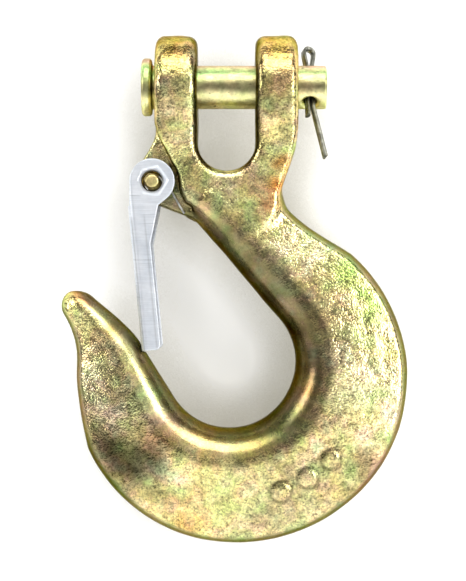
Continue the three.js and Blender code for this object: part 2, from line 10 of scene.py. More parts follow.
import bpy
import numpy as np
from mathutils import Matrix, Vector


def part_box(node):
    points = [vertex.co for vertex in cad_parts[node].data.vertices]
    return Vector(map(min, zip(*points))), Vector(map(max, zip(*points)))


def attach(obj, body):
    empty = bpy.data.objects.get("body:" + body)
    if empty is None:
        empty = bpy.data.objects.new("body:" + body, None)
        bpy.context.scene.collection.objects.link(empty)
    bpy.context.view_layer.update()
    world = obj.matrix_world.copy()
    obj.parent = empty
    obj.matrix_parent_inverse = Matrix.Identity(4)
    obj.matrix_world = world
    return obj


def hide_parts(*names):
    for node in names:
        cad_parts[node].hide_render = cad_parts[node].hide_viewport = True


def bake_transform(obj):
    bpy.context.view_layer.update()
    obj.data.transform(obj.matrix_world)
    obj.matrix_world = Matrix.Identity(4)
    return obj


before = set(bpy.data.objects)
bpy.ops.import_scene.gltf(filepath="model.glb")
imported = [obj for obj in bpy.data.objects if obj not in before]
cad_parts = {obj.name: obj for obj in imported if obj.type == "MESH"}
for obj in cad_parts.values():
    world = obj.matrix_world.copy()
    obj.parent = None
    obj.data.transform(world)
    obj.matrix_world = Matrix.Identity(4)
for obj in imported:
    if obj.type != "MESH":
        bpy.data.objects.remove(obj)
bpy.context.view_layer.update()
MM = 0.001

# ---- dimensions, as in the CAD model

SLOT_HALF = 8.5
SLOT_DEPTH = 25.0
EAR_OUTER = 20.8
EAR_RADIUS = 15.1
EDGE_ROUND = 2.2
NECK_HALF = 10.0
SHOULDER_DROP = 19.0

PIN_RADIUS = 6.35
PIN_PLAY = 0.4
PIN_HEAD_RADIUS = 8.5
PIN_HEAD = (-24.9, -21.9)
PIN_END = 29.4
PIN_TURN = math.radians(34)
CROSS_HOLE_X = 24.5
CROSS_HOLE_RADIUS = 1.8
CROSS_HOLE_MOUTH = 2.6

COTTER_HALF = 1.15
COTTER_LEG = 1.1
COTTER_GAP = 0.2
COTTER_EYE = 1.4
COTTER_EYE_REACH = 8.4
COTTER_EYE_FOOT = 0.6
COTTER_EYE_EASE = 2.0
COTTER_EYE_FLANK = 2.4
COTTER_BEND_RADIUS = 1.0
COTTER_SHORT = 4.7
COTTER_LONG = 17.8
COTTER_BEND = math.radians(11.5)
COTTER_TURN = math.radians(24)

BOWL = (0.8, -80.9)
BOWL_RADIUS = 19.4
SHANK_ANGLE = math.radians(41.4)
POINT_ANGLE = math.radians(31.5) - math.pi
SHANK_LENGTH = 40.0
POINT_LENGTH = 18.0
BEAK_LENGTH = 24.4
TIP_LENGTH = 5.2
# Sections along the throat line: place, inner, outer, crest, thickness, edge thickness, band.
SECTIONS = np.array([
    [0.00, 0.5, 13.0, 8.0, 20.0, 18.0, 2.2],
    [0.34, 0.5, 24.4, 8.0, 20.0, 17.0, 2.6],
    [0.45, 0.4, 23.3, 8.5, 20.5, 16.0, 2.8],
    [1.00, 0.0, 28.6, 9.0, 22.0, 14.0, 3.0],
    [1.20, 0.0, 32.6, 9.3, 23.0, 14.0, 3.0],
    [1.42, 0.0, 35.0, 9.5, 23.0, 14.0, 3.0],
    [1.75, 0.0, 33.4, 9.5, 23.0, 14.0, 3.0],
    [2.00, 0.0, 29.4, 9.0, 21.5, 13.0, 3.0],
    [3.00, 0.0, 22.2, 7.0, 18.0, 11.0, 3.0],
    [3.40, 1.9, 16.6, 6.0, 15.0, 10.0, 2.6],
    [3.79, 4.9, 14.9, 4.4, 12.0, 9.0, 2.2],
    [4.00, 6.1, 14.9, 4.0, 10.0, 8.0, 2.0],
])

PIVOT = (-21.6, -28.2)
LUG_HALF = 4.75
LUG_RADIUS = 5.7
LATCH_PIN_RADIUS = 2.4
LATCH_EAR = 6.6
LATCH_HOLE = 3.0
LATCH_REACH = 7.8
LATCH_TOP = 6.5
LATCH_ARM = 5.7
LATCH_WAIST = 18.0
LATCH_SHOULDER = (1.2, -7.1)
LATCH_OVERLAP = 2.0
LATCH_CORNER = 1.4
LATCH_ROOM = 1.3
LATCH_GAP = 0.3
SHEET = 1.4
COLLAR_HEIGHT = 0.6
LATCH_PIN_PRESS = 0.3
LATCH_PIN_SINK = 0.35

WIRE = 0.7
COIL_RADIUS = 3.4
COIL_TURNS = 2
COIL_PITCH = 0.85
COIL_SPARE = 0.4
SPRING_GAP = 0.3
BRIDGE_DROP = 12.5
BRIDGE_BEND = 1.6
LEG_CLEARANCE = 0.6
LEG_END = 0.6

BOWL_LENGTH = BOWL_RADIUS * (SHANK_ANGLE - POINT_ANGLE)
RUNS = [SHANK_LENGTH, BOWL_LENGTH, POINT_LENGTH, BEAK_LENGTH]
STARTS = [0, SHANK_LENGTH, SHANK_LENGTH + BOWL_LENGTH, SHANK_LENGTH + BOWL_LENGTH + POINT_LENGTH]
TOTAL = sum(RUNS)

# ---- fineness of the nets

HOOK_STEP = 0.58
PIN_STEP = 0.34
LATCH_STEP = 0.27
LATCH_PIN_STEP = 0.26
TABLE_STEP = 0.5  # of the hook's table of sections, across a section
TABLE_STATIONS = 150  # and along the throat line


# ---- throat line

def distance_at(place):
    run = min(int(place), len(RUNS) - 1)
    return STARTS[run] + (place - run) * RUNS[run]


def point_off(distance, depth):
    on_bowl = min(max(distance - STARTS[1], 0), BOWL_LENGTH)
    angle = SHANK_ANGLE - on_bowl / BOWL_RADIUS
    along = distance - STARTS[1] if distance < STARTS[1] else max(distance - STARTS[2], 0)
    ix, iz = math.cos(angle), math.sin(angle)
    reach = BOWL_RADIUS + depth
    return BOWL[0] + reach * ix + along * iz, BOWL[1] + reach * iz - along * ix


def throat_frame(x, z):
    """How far along the throat line a point of the hook's plane is, and how deep behind it."""
    rx, rz = x - BOWL[0], z - BOWL[1]
    angle = np.arctan2(rz, rx)
    depth = np.where((angle <= SHANK_ANGLE) & (angle >= POINT_ANGLE), np.hypot(rx, rz) - BOWL_RADIUS, -1e3)
    distance = STARTS[1] + BOWL_RADIUS * (SHANK_ANGLE - angle)  # round the bowl
    for turn, start, side in ((SHANK_ANGLE, STARTS[1], -1), (POINT_ANGLE, STARTS[2], 1)):
        ix, iz = math.cos(turn), math.sin(turn)
        along = rx * iz - rz * ix
        deep = rx * ix + rz * iz - BOWL_RADIUS
        better = (along * side >= 0) & (deep > depth)
        depth = np.where(better, deep, depth)
        distance = np.where(better, start + along, distance)
    return distance, depth


# ---- fields

def share(value):
    return np.clip(value, 0, 1)


def soft_min(a, b, k):
    h = share(0.5 + 0.5 * (b - a) / k)
    return b * (1 - h) + a * h - k * h * (1 - h)


def soft_max(a, b, k):
    return -soft_min(-a, -b, k)


def round_max(a, b, r):
    """What is inside both, with the edge between them rounded to radius r."""
    return np.minimum(np.maximum(a, b) + r, 0) + np.hypot(np.maximum(a + r, 0), np.maximum(b + r, 0)) - r


def polygon_field(px, pz, corners, edges=None):
    """Distance to a polygon, negative inside. Only the first so many edges count, if that is given."""
    best = np.full(px.shape, 1e9)
    inside = np.zeros(px.shape, bool)
    count = len(corners)
    for i in range(count):
        ax, az = corners[i]
        bx, bz = corners[(i + 1) % count]
        ex, ez = bx - ax, bz - az
        wx, wz = px - ax, pz - az
        if ex * ex + ez * ez < 1e-18:
            continue
        if edges is None or i < edges:
            t = share((wx * ex + wz * ez) / (ex * ex + ez * ez))
            best = np.minimum(best, (wx - t * ex) ** 2 + (wz - t * ez) ** 2)
        if abs(ez) > 1e-12:
            crosses = ((az <= pz) & (bz > pz)) | ((bz <= pz) & (az > pz))
            inside ^= crosses & (wx < wz * ex / ez)
    return np.where(inside, -1, 1) * np.sqrt(best)


def plate_field(x, z, corners):
    return polygon_field(x, z, corners)[:, None, :]


def arc(cx, cz, radius, start, end, steps):
    return [
        (cx + radius * math.cos(start + (end - start) * k / steps),
         cz + radius * math.sin(start + (end - start) * k / steps))
        for k in range(steps + 1)
    ]


def tangent_angle(x, z, radius, side):
    return math.atan2(z, x) + side * math.acos(radius / math.hypot(x, z))


CELL_CORNERS = [(i, j, k) for i in (0, 1) for j in (0, 1) for k in (0, 1)]


def between_corners(values, cell, part):
    """The values at the eight corners of each cell, mixed by how far across it each point is."""
    total = 0
    for i, j, k in CELL_CORNERS:
        w = np.abs(1 - i - part[:, 0]) * np.abs(1 - j - part[:, 1]) * np.abs(1 - k - part[:, 2])
        total = total + w * values[cell[:, 0] + i, cell[:, 1] + j, cell[:, 2] + k]
    return total


def lumps(points, size, seed):
    """Smooth noise from -1 to 1 with lumps of about that size."""
    q = points / size
    cell = np.floor(q).astype(int)
    part = q - cell
    part = part * part * (3 - 2 * part)
    cell -= cell.min(0)
    lattice = np.random.default_rng(seed).uniform(-1, 1, tuple(cell.max(0) + 2))
    return between_corners(lattice, cell, part)


def grid(low, high, step):
    return [np.arange(a, b + step, step) for a, b in zip(low, high)]


def sample(field, low, step, points):
    """The field at any points of its grid's box."""
    q = np.clip((points - low) / step, 0, np.array(field.shape) - 1.001)
    cell = q.astype(int)
    return between_corners(field, cell, q - cell)


def crossings(field, cells):
    """One point in each cell, in cells: the mean of the places where its edges cross the surface."""
    total = np.zeros((len(cells), 3))
    number = np.zeros(len(cells))
    for axis in range(3):
        others = [a for a in range(3) if a != axis]
        for p in (0, 1):
            for q in (0, 1):
                start = np.zeros(3, int)
                start[others[0]], start[others[1]] = p, q
                end = start.copy()
                end[axis] = 1
                a = cells + start
                b = cells + end
                fa = field[a[:, 0], a[:, 1], a[:, 2]]
                fb = field[b[:, 0], b[:, 1], b[:, 2]]
                cross = (fa < 0) != (fb < 0)
                t = fa[cross] / (fa[cross] - fb[cross])
                place = np.tile(start.astype(float), (len(t), 1))
                place[:, axis] = t
                total[cross] += place
                number[cross] += 1
    return cells + total / number[:, None]


def net_faces(inside, index):
    """A quad round every grid edge that the surface crosses, facing out."""
    quads = []
    for axis in range(3):
        u, v = (axis + 1) % 3, (axis + 2) % 3
        first = [slice(None)] * 3
        second = [slice(None)] * 3
        first[axis] = slice(0, -1)
        second[axis] = slice(1, None)
        a = inside[tuple(first)]
        b = inside[tuple(second)]
        edges = np.argwhere(a != b)
        leaving = a[edges[:, 0], edges[:, 1], edges[:, 2]]
        eu, ev = np.zeros(3, int), np.zeros(3, int)
        eu[u], ev[v] = 1, 1
        ring = [edges, edges - eu, edges - eu - ev, edges - ev]
        ids = np.stack([index[r[:, 0], r[:, 1], r[:, 2]] for r in ring], 1)
        quads.append(np.where(leaving[:, None], ids, ids[:, ::-1]))
    return np.concatenate(quads)


def skin(field, low, step, relax=2):
    """The field's zero surface as (points, quads), evened out and put back on the surface each time."""
    low = np.array(low, float)
    inside = field < 0
    nx, ny, nz = field.shape
    count = np.zeros((nx - 1, ny - 1, nz - 1), np.int8)
    for i, j, k in CELL_CORNERS:
        count += inside[i:nx - 1 + i, j:ny - 1 + j, k:nz - 1 + k]
    active = (count > 0) & (count < 8)
    cells = np.argwhere(active)
    index = np.full(active.shape, -1, np.int64)
    index[active] = np.arange(len(cells))
    points = low + crossings(field, cells) * step
    quads = net_faces(inside, index)
    slopes = np.gradient(field, step)
    for turn in range(relax + 1):
        if turn:
            points = 0.4 * points + 0.6 * neighbour_mean(points, quads)
        for _ in range(2):
            value = sample(field, low, step, points)
            slope = np.stack([sample(g, low, step, points) for g in slopes], 1)
            move = -slope * (value / np.maximum((slope ** 2).sum(1), 0.3))[:, None]
            length = np.linalg.norm(move, axis=1, keepdims=True)
            points = points + move * np.minimum(1, 0.5 * step / np.maximum(length, 1e-9))
    return points, quads


def neighbour_mean(points, quads):
    a = quads.ravel()
    b = np.roll(quads, -1, axis=1).ravel()
    ends = np.concatenate([a, b])
    starts = np.concatenate([b, a])
    number = np.bincount(ends, minlength=len(points))
    sums = [np.bincount(ends, weights=points[starts, i], minlength=len(points)) for i in range(3)]
    return np.stack(sums, 1) / np.maximum(number, 1)[:, None]


def point_normals(points, quads):
    p = points[quads]
    n = np.cross(p[:, 2] - p[:, 0], p[:, 3] - p[:, 1])
    out = np.stack([
        sum(np.bincount(quads[:, c], weights=n[:, i], minlength=len(points)) for c in range(4))
        for i in range(3)
    ], 1)
    return out / np.maximum(np.linalg.norm(out, axis=1, keepdims=True), 1e-12)


# ---- objects

def add_object(name, data):
    thing = bpy.data.objects.new(name, data)
    bpy.context.scene.collection.objects.link(thing)
    return thing


def make_object(name, points, faces, material, body, node,
                values=None, colours=None, flat_angle=None):
    """A smooth mesh in place of a node. It rides a body, if one is given."""
    mesh = bpy.data.meshes.new(name)
    mesh.from_pydata((np.asarray(points) * MM).tolist(), [], [list(map(int, f)) for f in faces])
    mesh.polygons.foreach_set("use_smooth", [True] * len(mesh.polygons))
    if flat_angle:
        mesh.set_sharp_from_angle(angle=math.radians(flat_angle))
    for key, value in (values or {}).items():
        attribute = mesh.attributes.new(key, "FLOAT", "POINT")
        attribute.data.foreach_set("value", np.asarray(value, np.float32))
    for key, value in (colours or {}).items():
        attribute = mesh.attributes.new(key, "FLOAT_COLOR", "POINT")
        rgba = np.ones((len(points), 4), np.float32)
        rgba[:, :3] = value
        attribute.data.foreach_set("color", rgba.ravel())
    mesh.update()
    thing = add_object(name, mesh)
    mesh.materials.append(material)
    if body:
        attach(thing, body)
    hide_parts(node)
    return thing


class Nodes:
    """A material's node tree, built one node a call."""

    def __init__(self, name):
        self.material = bpy.data.materials.new(name)
        self.material.use_nodes = True
        self.tree = self.material.node_tree
        self.shader = self.tree.nodes["Principled BSDF"]
        self.place = self.add("ShaderNodeTexCoord").outputs["Object"]

    def add(self, kind, **inputs):
        made = self.tree.nodes.new(kind)
        for key, value in inputs.items():
            self.feed(made, key, value)
        return made

    def feed(self, made, key, value):
        socket = made.inputs[int(key[1:])] if key[0] == "_" else made.inputs[key.replace("_", " ")]
        if isinstance(value, bpy.types.NodeSocket):
            self.tree.links.new(value, socket)
        else:
            socket.default_value = value

    def noise(self, scale, detail=2.0, roughness=0.5, distortion=0.0, place=None):
        made = self.add("ShaderNodeTexNoise", Vector=place or self.place, Scale=scale, Detail=detail,
                        Roughness=roughness, Distortion=distortion)
        return made.outputs["Fac"]

    def cells(self, scale):
        """A random grey for each small cell, with soft borders."""
        made = self.add("ShaderNodeTexVoronoi", Vector=self.place, Scale=scale)
        split = self.add("ShaderNodeSeparateColor", Color=made.outputs["Color"])
        return split.outputs[0]

    def stretched(self, scale, rotation=(0, 0, 0)):
        made = self.add("ShaderNodeMapping", Vector=self.place, Rotation=rotation, Scale=scale)
        return made.outputs["Vector"]

    def math(self, operation, a, b=0.0, clamp=False):
        made = self.add("ShaderNodeMath", _0=a, _1=b)
        made.operation = operation
        made.use_clamp = clamp
        return made.outputs[0]

    def times(self, a, b, clamp=False):
        return self.math("MULTIPLY", a, b, clamp)

    def span(self, value, low, high, out_low=0.0, out_high=1.0):
        made = self.add("ShaderNodeMapRange", Value=value, From_Min=low, From_Max=high, To_Min=out_low,
                        To_Max=out_high)
        return made.outputs["Result"]

    def ramp(self, value, stops):
        made = self.add("ShaderNodeValToRGB", Fac=value)
        ends = made.color_ramp.elements
        ends[0].position, ends[0].color = stops[0][0], (*stops[0][1], 1)
        ends[1].position, ends[1].color = stops[-1][0], (*stops[-1][1], 1)
        for position, colour in stops[1:-1]:
            ends.new(position).color = (*colour, 1)
        return made.outputs["Color"]

    def mix(self, factor, a, b, blend="MIX"):
        made = self.tree.nodes.new("ShaderNodeMix")
        made.data_type = "RGBA"
        made.blend_type = blend
        for key, value in (("_0", factor), ("_6", a), ("_7", b)):
            is_colour = isinstance(value, tuple) and len(value) == 3
            self.feed(made, key, (*value, 1) if is_colour else value)
        return made.outputs[2]

    def swing(self, value, amount, middle=1.0):
        """The middle, plus or minus a share of a noise value that lies round a half."""
        return self.math("ADD", middle, self.times(self.math("SUBTRACT", value, 0.5), amount))

    def grey(self, value):
        made = self.add("ShaderNodeCombineColor", _0=value, _1=value, _2=value)
        return made.outputs[0]

    def attribute(self, name, output):
        made = self.tree.nodes.new("ShaderNodeAttribute")
        made.attribute_name = name
        return made.outputs[output]

    def bump(self, height, strength, distance, normal=None):
        made = self.add("ShaderNodeBump", Strength=strength, Distance=distance, Height=height)
        if normal is not None:
            self.feed(made, "Normal", normal)
        return made.outputs["Normal"]

    def finish(self, colour, roughness, normal, metallic=1.0, edge=(1, 1, 1)):
        self.feed(self.shader, "Base_Color", colour)
        self.feed(self.shader, "Specular_Tint", (*edge, 1))
        self.feed(self.shader, "Roughness", roughness)
        self.feed(self.shader, "Metallic", metallic)
        self.feed(self.shader, "Normal", normal)
        return self.material


# ---- materials

def plated_forging():
    """Yellow zinc on rough forged steel. The plating's colour, with its painted shade, comes with the mesh,
    its grain from noise.
    """
    n = Nodes("yellow_zinc_forging")
    mesh_colour = n.attribute("mesh_colour", "Color")
    grain = n.attribute("grain", "Fac")
    crystals = n.noise(1900, detail=1, roughness=0.5)
    grit = n.cells(1500)
    patches = n.noise(330, detail=2, roughness=0.6)
    hue = n.ramp(n.noise(150, detail=3, roughness=0.55), [
        (0.32, (0.78, 0.96, 0.66)), (0.42, (0.98, 1.0, 0.88)), (0.50, (1.06, 1.0, 0.80)),
        (0.58, (1.14, 0.92, 0.96)), (0.68, (0.94, 0.98, 1.02)),
    ])
    colour = n.mix(0.85, mesh_colour, hue, "MULTIPLY")
    mottle = n.swing(crystals, 1.5, n.swing(grit, 0.6, n.swing(patches, 1.15, 0.0)))
    level = n.math("ADD", 1.0, n.times(mottle, n.span(grain, 0, 1, 0.22, 1.0)))
    colour = n.mix(1.0, colour, n.grey(n.math("MAXIMUM", level, 0.2)), "MULTIPLY")
    pits = n.times(n.span(n.noise(900, detail=3, roughness=0.75), 0.38, 0.33), grain)
    colour = n.mix(n.times(pits, 0.8, clamp=True), colour, (0.06, 0.05, 0.03))
    rough = n.math("ADD", n.span(grain, 0, 1, 0.20, 0.13), n.times(patches, 0.16))
    fine = n.bump(crystals, n.span(grain, 0, 1, 0.05, 0.5), 0.00025)
    normal = n.bump(patches, n.span(grain, 0, 1, 0.05, 0.35), 0.0006, fine)
    return n.finish(colour, rough, normal, edge=(0.42, 0.38, 0.24))


def plated_turning(name, along):
    """Yellow zinc on a turned pin, with fine lathe marks round it."""
    n = Nodes(name)
    mesh_colour = n.attribute("mesh_colour", "Color")
    crystals = n.noise(1200, detail=3, roughness=0.6)
    patches = n.noise(300, detail=2, roughness=0.6, distortion=0.8)
    marks = n.noise(1.0, detail=2, place=n.stretched(tuple(3500 if a else 260 for a in along)))
    hue = n.ramp(n.noise(120, detail=2), [
        (0.34, (0.86, 1.05, 0.80)), (0.5, (1.0, 1.0, 1.0)), (0.66, (1.12, 0.93, 0.95)),
    ])
    colour = n.mix(0.7, mesh_colour, hue, "MULTIPLY")
    level = n.swing(patches, 0.5, n.swing(crystals, 0.9))
    colour = n.mix(1.0, colour, n.grey(level), "MULTIPLY")
    pits = n.span(n.noise(640, detail=3, roughness=0.7), 0.36, 0.31)
    colour = n.mix(n.times(pits, 0.7), colour, (0.08, 0.07, 0.04))
    rough = n.math("ADD", 0.26, n.times(patches, 0.16))
    fine = n.bump(crystals, 0.6, 0.0002)
    normal = n.bump(marks, 0.22, 0.00006, fine)
    return n.finish(colour, rough, normal, edge=(0.5, 0.46, 0.3))


def bright_sheet():
    """Bright zinc on rolled sheet, with a blue cast and fine scratches across it."""
    n = Nodes("bright_zinc_sheet")
    turn = (0, -LATCH_TURN, 0)
    scratches = n.noise(1.0, detail=3, roughness=0.7, place=n.stretched((130, 400, 2600), turn))
    cloud = n.noise(150, detail=3, roughness=0.6)
    spangle = n.noise(900, detail=2)
    colour = n.ramp(cloud, [
        (0.30, (0.56, 0.60, 0.66)), (0.5, (0.63, 0.66, 0.71)), (0.70, (0.70, 0.72, 0.76)),
    ])
    level = n.swing(spangle, 0.12, n.swing(scratches, 0.42))
    colour = n.mix(1.0, colour, n.grey(level), "MULTIPLY")
    rubs = n.noise(1.0, detail=2, roughness=0.6, place=n.stretched((60, 300, 1300), turn))
    marks = n.span(rubs, 0.36, 0.31)
    colour = n.mix(n.times(marks, 0.4), colour, (0.25, 0.27, 0.31))
    # Painted shade from the mesh darkens the sheet round its hole and along the arm's folds.
    colour = n.mix(n.times(n.attribute("latch_painted_shade", "Fac"), 0.85), colour, (0.05, 0.045, 0.03))
    rough = n.math("ADD", 0.30, n.times(cloud, 0.16))
    normal = n.bump(scratches, 0.3, 0.00005)
    return n.finish(colour, rough, normal, metallic=0.62)


def dull_wire(name, colour, scale):
    """Drawn steel wire with a dull skin and small rubbed places."""
    n = Nodes(name)
    cloud = n.noise(scale, detail=3, roughness=0.65)
    specks = n.noise(scale * 6, detail=2)
    dark = tuple(c * 0.55 for c in colour)
    light = tuple(min(1, c * 1.35) for c in colour)
    skin_colour = n.ramp(cloud, [(0.34, dark), (0.5, colour), (0.68, light)])
    skin_colour = n.mix(1.0, skin_colour, n.grey(n.swing(specks, 0.5)), "MULTIPLY")
    rough = n.math("ADD", 0.26, n.times(cloud, 0.22))
    normal = n.bump(specks, 0.25, 0.00006)
    return n.finish(skin_colour, rough, normal)


# ---- latch's place at rest

seat_x, seat_z = point_off(distance_at(3), 0)
seat_dx, seat_dz = seat_x - PIVOT[0], seat_z - PIVOT[1]
SEAT_DISTANCE = math.hypot(seat_dx, seat_dz)
SEAT_ANGLE = math.atan2(seat_dx, -seat_dz)
LATCH_TURN = math.asin((LATCH_REACH + LATCH_GAP) / SEAT_DISTANCE) + SEAT_ANGLE
LATCH_LENGTH = SEAT_DISTANCE * math.cos(LATCH_TURN - SEAT_ANGLE) + LATCH_OVERLAP
SPRING_SIDE = LUG_HALF + SPRING_GAP + WIRE / 2
LATCH_INNER = SPRING_SIDE + COIL_PITCH * (COIL_TURNS + COIL_SPARE) + WIRE / 2 + SPRING_GAP
LATCH_OUTER = LATCH_INNER + SHEET


def from_latch(x, z):
    """A place in the latch's own frame, in the model's frame."""
    c, s = math.cos(LATCH_TURN), math.sin(LATCH_TURN)
    return PIVOT[0] + x * c - z * s, PIVOT[1] + x * s + z * c


# ---- hook body

def section_table(distances):
    """The section's values along the throat line: a cubic in each span, with three-point slopes."""
    at = np.array([distance_at(p) for p in SECTIONS[:, 0]])
    rows = SECTIONS[:, 1:]
    rises = (rows[1:] - rows[:-1]) / (at[1:] - at[:-1])[:, None]
    slopes = np.zeros_like(rows)
    slopes[0], slopes[-1] = rises[0], rises[-1]
    slopes[1:-1] = np.where(rises[:-1] * rises[1:] > 0, (rises[:-1] + rises[1:]) / 2, 0)
    i = np.clip(np.searchsorted(at, distances) - 1, 0, len(at) - 2)
    span = (at[i + 1] - at[i])[:, None]
    t = share((distances - at[i])[:, None] / span)
    start = rows[i] * (1 + 2 * t) * (1 - t) ** 2 + slopes[i] * span * t * (1 - t) ** 2
    end = rows[i + 1] * t * t * (3 - 2 * t) - slopes[i + 1] * span * t * t * (1 - t)
    return start + end


def section_outline(inner, outer, crest, thick, edge, band):
    """Half of the section as (depth, half thickness), from the throat side to the back."""
    half, side = thick / 2, edge / 2
    top, shoulder = inner + crest, outer - band
    outline = []
    for t in np.linspace(0, math.pi / 2, 15):
        outline.append((top - crest * math.cos(t), half * math.sin(t)))
    for s in np.linspace(0, 1, 9)[1:]:
        outline.append((top + (shoulder - top) * s, half - (half - side) * s ** 1.2))
    for t in np.linspace(0, math.pi / 2, 12)[1:]:
        outline.append((shoulder + band * math.sin(t) ** 1.15, side * math.cos(t)))
    return outline


def run_field(xs, ys, zs):
    """The bent bar: shank, bowl, point and beak, from a table of its sections' own fields."""
    x, z = np.meshgrid(xs, zs, indexing="ij")
    distance, depth = throat_frame(x, z)
    stations = np.linspace(0, TOTAL, TABLE_STATIONS)
    depths = np.arange(-7, 45, TABLE_STEP)
    halves = np.arange(0, 18, TABLE_STEP)
    dd, hh = np.meshgrid(depths, halves, indexing="ij")
    table = np.zeros((len(stations), len(depths), len(halves)))
    for i, row in enumerate(section_table(stations)):
        outline = section_outline(*row)
        table[i] = polygon_field(dd, hh, outline, len(outline) - 1)
    q = np.clip(distance / (stations[1] - stations[0]), 0, len(stations) - 1.001)
    r = np.clip((depth - depths[0]) / TABLE_STEP, 0, len(depths) - 1.001)
    i, j = q.astype(int), r.astype(int)
    fi, fj = q - i, r - j
    beyond = np.maximum(depths[0] - depth, 0)
    tip = np.clip((distance - (TOTAL - TIP_LENGTH)) / TIP_LENGTH, 0, None)
    out = np.zeros((len(xs), len(ys), len(zs)), np.float32)
    for m, y in enumerate(np.abs(ys)):
        s = min(y / TABLE_STEP, len(halves) - 1.001)
        k, up = int(s), s - int(s)
        layer = 0
        for a in (0, 1):
            for b in (0, 1):
                w = np.abs(1 - a - fi) * np.abs(1 - b - fj)
                layer = layer + w * (table[i + a, j + b, k] * (1 - up) + table[i + a, j + b, k + 1] * up)
        layer = layer + beyond
        gauge = np.maximum(1 + layer / TIP_LENGTH, 0)
        rounded = (np.hypot(gauge, tip) - 1) * TIP_LENGTH
        out[:, m, :] = np.maximum(np.where(tip > 0, rounded, layer), -distance)
    return out


def side_outline():
    """The clevis and neck from the side: a disc about the pin, drawn in to the neck's thickness."""
    touch = tangent_angle(NECK_HALF, -SHOULDER_DROP, EAR_RADIUS, 1)
    foot = -SHOULDER_DROP - 50
    ease = 9
    slope = (-math.sin(touch) * ease, math.cos(touch) * ease)
    right = []
    for t in np.linspace(0, 1, 12):
        right.append((
            NECK_HALF + slope[0] * t * t,
            -SHOULDER_DROP - ease * (1 - t) ** 2 + slope[1] * t * t,
        ))
    left = [(-y, z) for y, z in right[::-1]]
    over = arc(0, 0, EAR_RADIUS, touch, math.pi - touch, 80)
    return [(NECK_HALF, foot)] + right + over + left + [(-NECK_HALF, foot)]


def clevis_outline():
    """The clevis and neck from the front, without the slot."""
    above = 2 * EAR_RADIUS
    right = point_off(distance_at(0.34), 24.0)
    corner = point_off(0, 3.4)
    low = point_off(distance_at(0.45), 6.4)
    low_right = point_off(distance_at(0.45), 20.3)
    curve = []
    for t in np.linspace(0, 1, 14):
        a, b, c = (1 - t) ** 2, 2 * t * (1 - t), t * t
        curve.append((
            a * right[0] + b * (right[0] + 2.6) + c * EAR_OUTER,
            a * right[1] + b * (-SHOULDER_DROP - 6.5) + c * -SHOULDER_DROP,
        ))
    return (
        [(-EAR_OUTER, above), (-EAR_OUTER, SLOT_HALF - SLOT_DEPTH), (corner[0] - 3.4, corner[1] + 1.6)]
        + [corner, low, low_right] + curve + [(EAR_OUTER, above)]
    )


def pocket_outline():
    """Room beside the neck for the latch's ears."""
    reach = LATCH_EAR + LATCH_ROOM
    corner = point_off(0, 0)
    far = PIVOT[0] - 2 * reach
    top = EDGE_ROUND - EAR_RADIUS
    return (
        [(far, top), (-EAR_OUTER, top)]
        + arc(PIVOT[0], PIVOT[1], reach, math.radians(42), math.radians(-20), 20)
        + [(corner[0] - 1.2, corner[1] + 1.2), (corner[0] - 1.2, corner[1] - 20), (far, corner[1] - 20)]
    )


def lug_outline():
    """The lug: a round end about the latch's pivot, with straight sides that run into the neck."""
    top = (-EAR_OUTER - PIVOT[0], -EAR_RADIUS - PIVOT[1])
    corner = point_off(0, 0.4)
    under = (corner[0] - PIVOT[0] - 1, corner[1] - PIVOT[1] + 0.8)
    start = tangent_angle(*top, LUG_RADIUS, 1)
    end = tangent_angle(*under, LUG_RADIUS, -1) + 2 * math.pi
    return (
        [(-SLOT_HALF - 4, top[1] + PIVOT[1] + 2), (-EAR_OUTER, top[1] + PIVOT[1])]
        + arc(PIVOT[0], PIVOT[1], LUG_RADIUS, start, end, 30)
        + [point_off(2, 0.8), point_off(4, 7)]
    )


def seat_outline():
    """The notch in the point's throat side that the latch's web shuts against."""
    face, shelf, above = -LATCH_REACH - LATCH_GAP, -LATCH_LENGTH - LATCH_GAP, 12
    corners = ((face, shelf), (0, shelf), (0, shelf + above), (face, shelf + above))
    return [from_latch(*corner) for corner in corners]


# Widths of the forging's soft edges and of the fillets where its parts meet.
NOTCH_SOFT = 0.5
CLEVIS_ROUND = 2.7
FLANK_SOFT = 2.2
NECK_FILLET = 2.6
SLOT_ROUND = 2.9
POCKET_SOFT = 1.6
LUG_ROUND = 0.9
LUG_FILLET = 1.1
BORE_SOFT = 0.7
PIVOT_SOFT = 0.3
# The slanted flank that takes the clevis's right side in towards the top: normal x and z, and reach.
FLANK = (0.954, -0.299, 25.15)
NO_FLANK = -9.0  # well inside, on the left


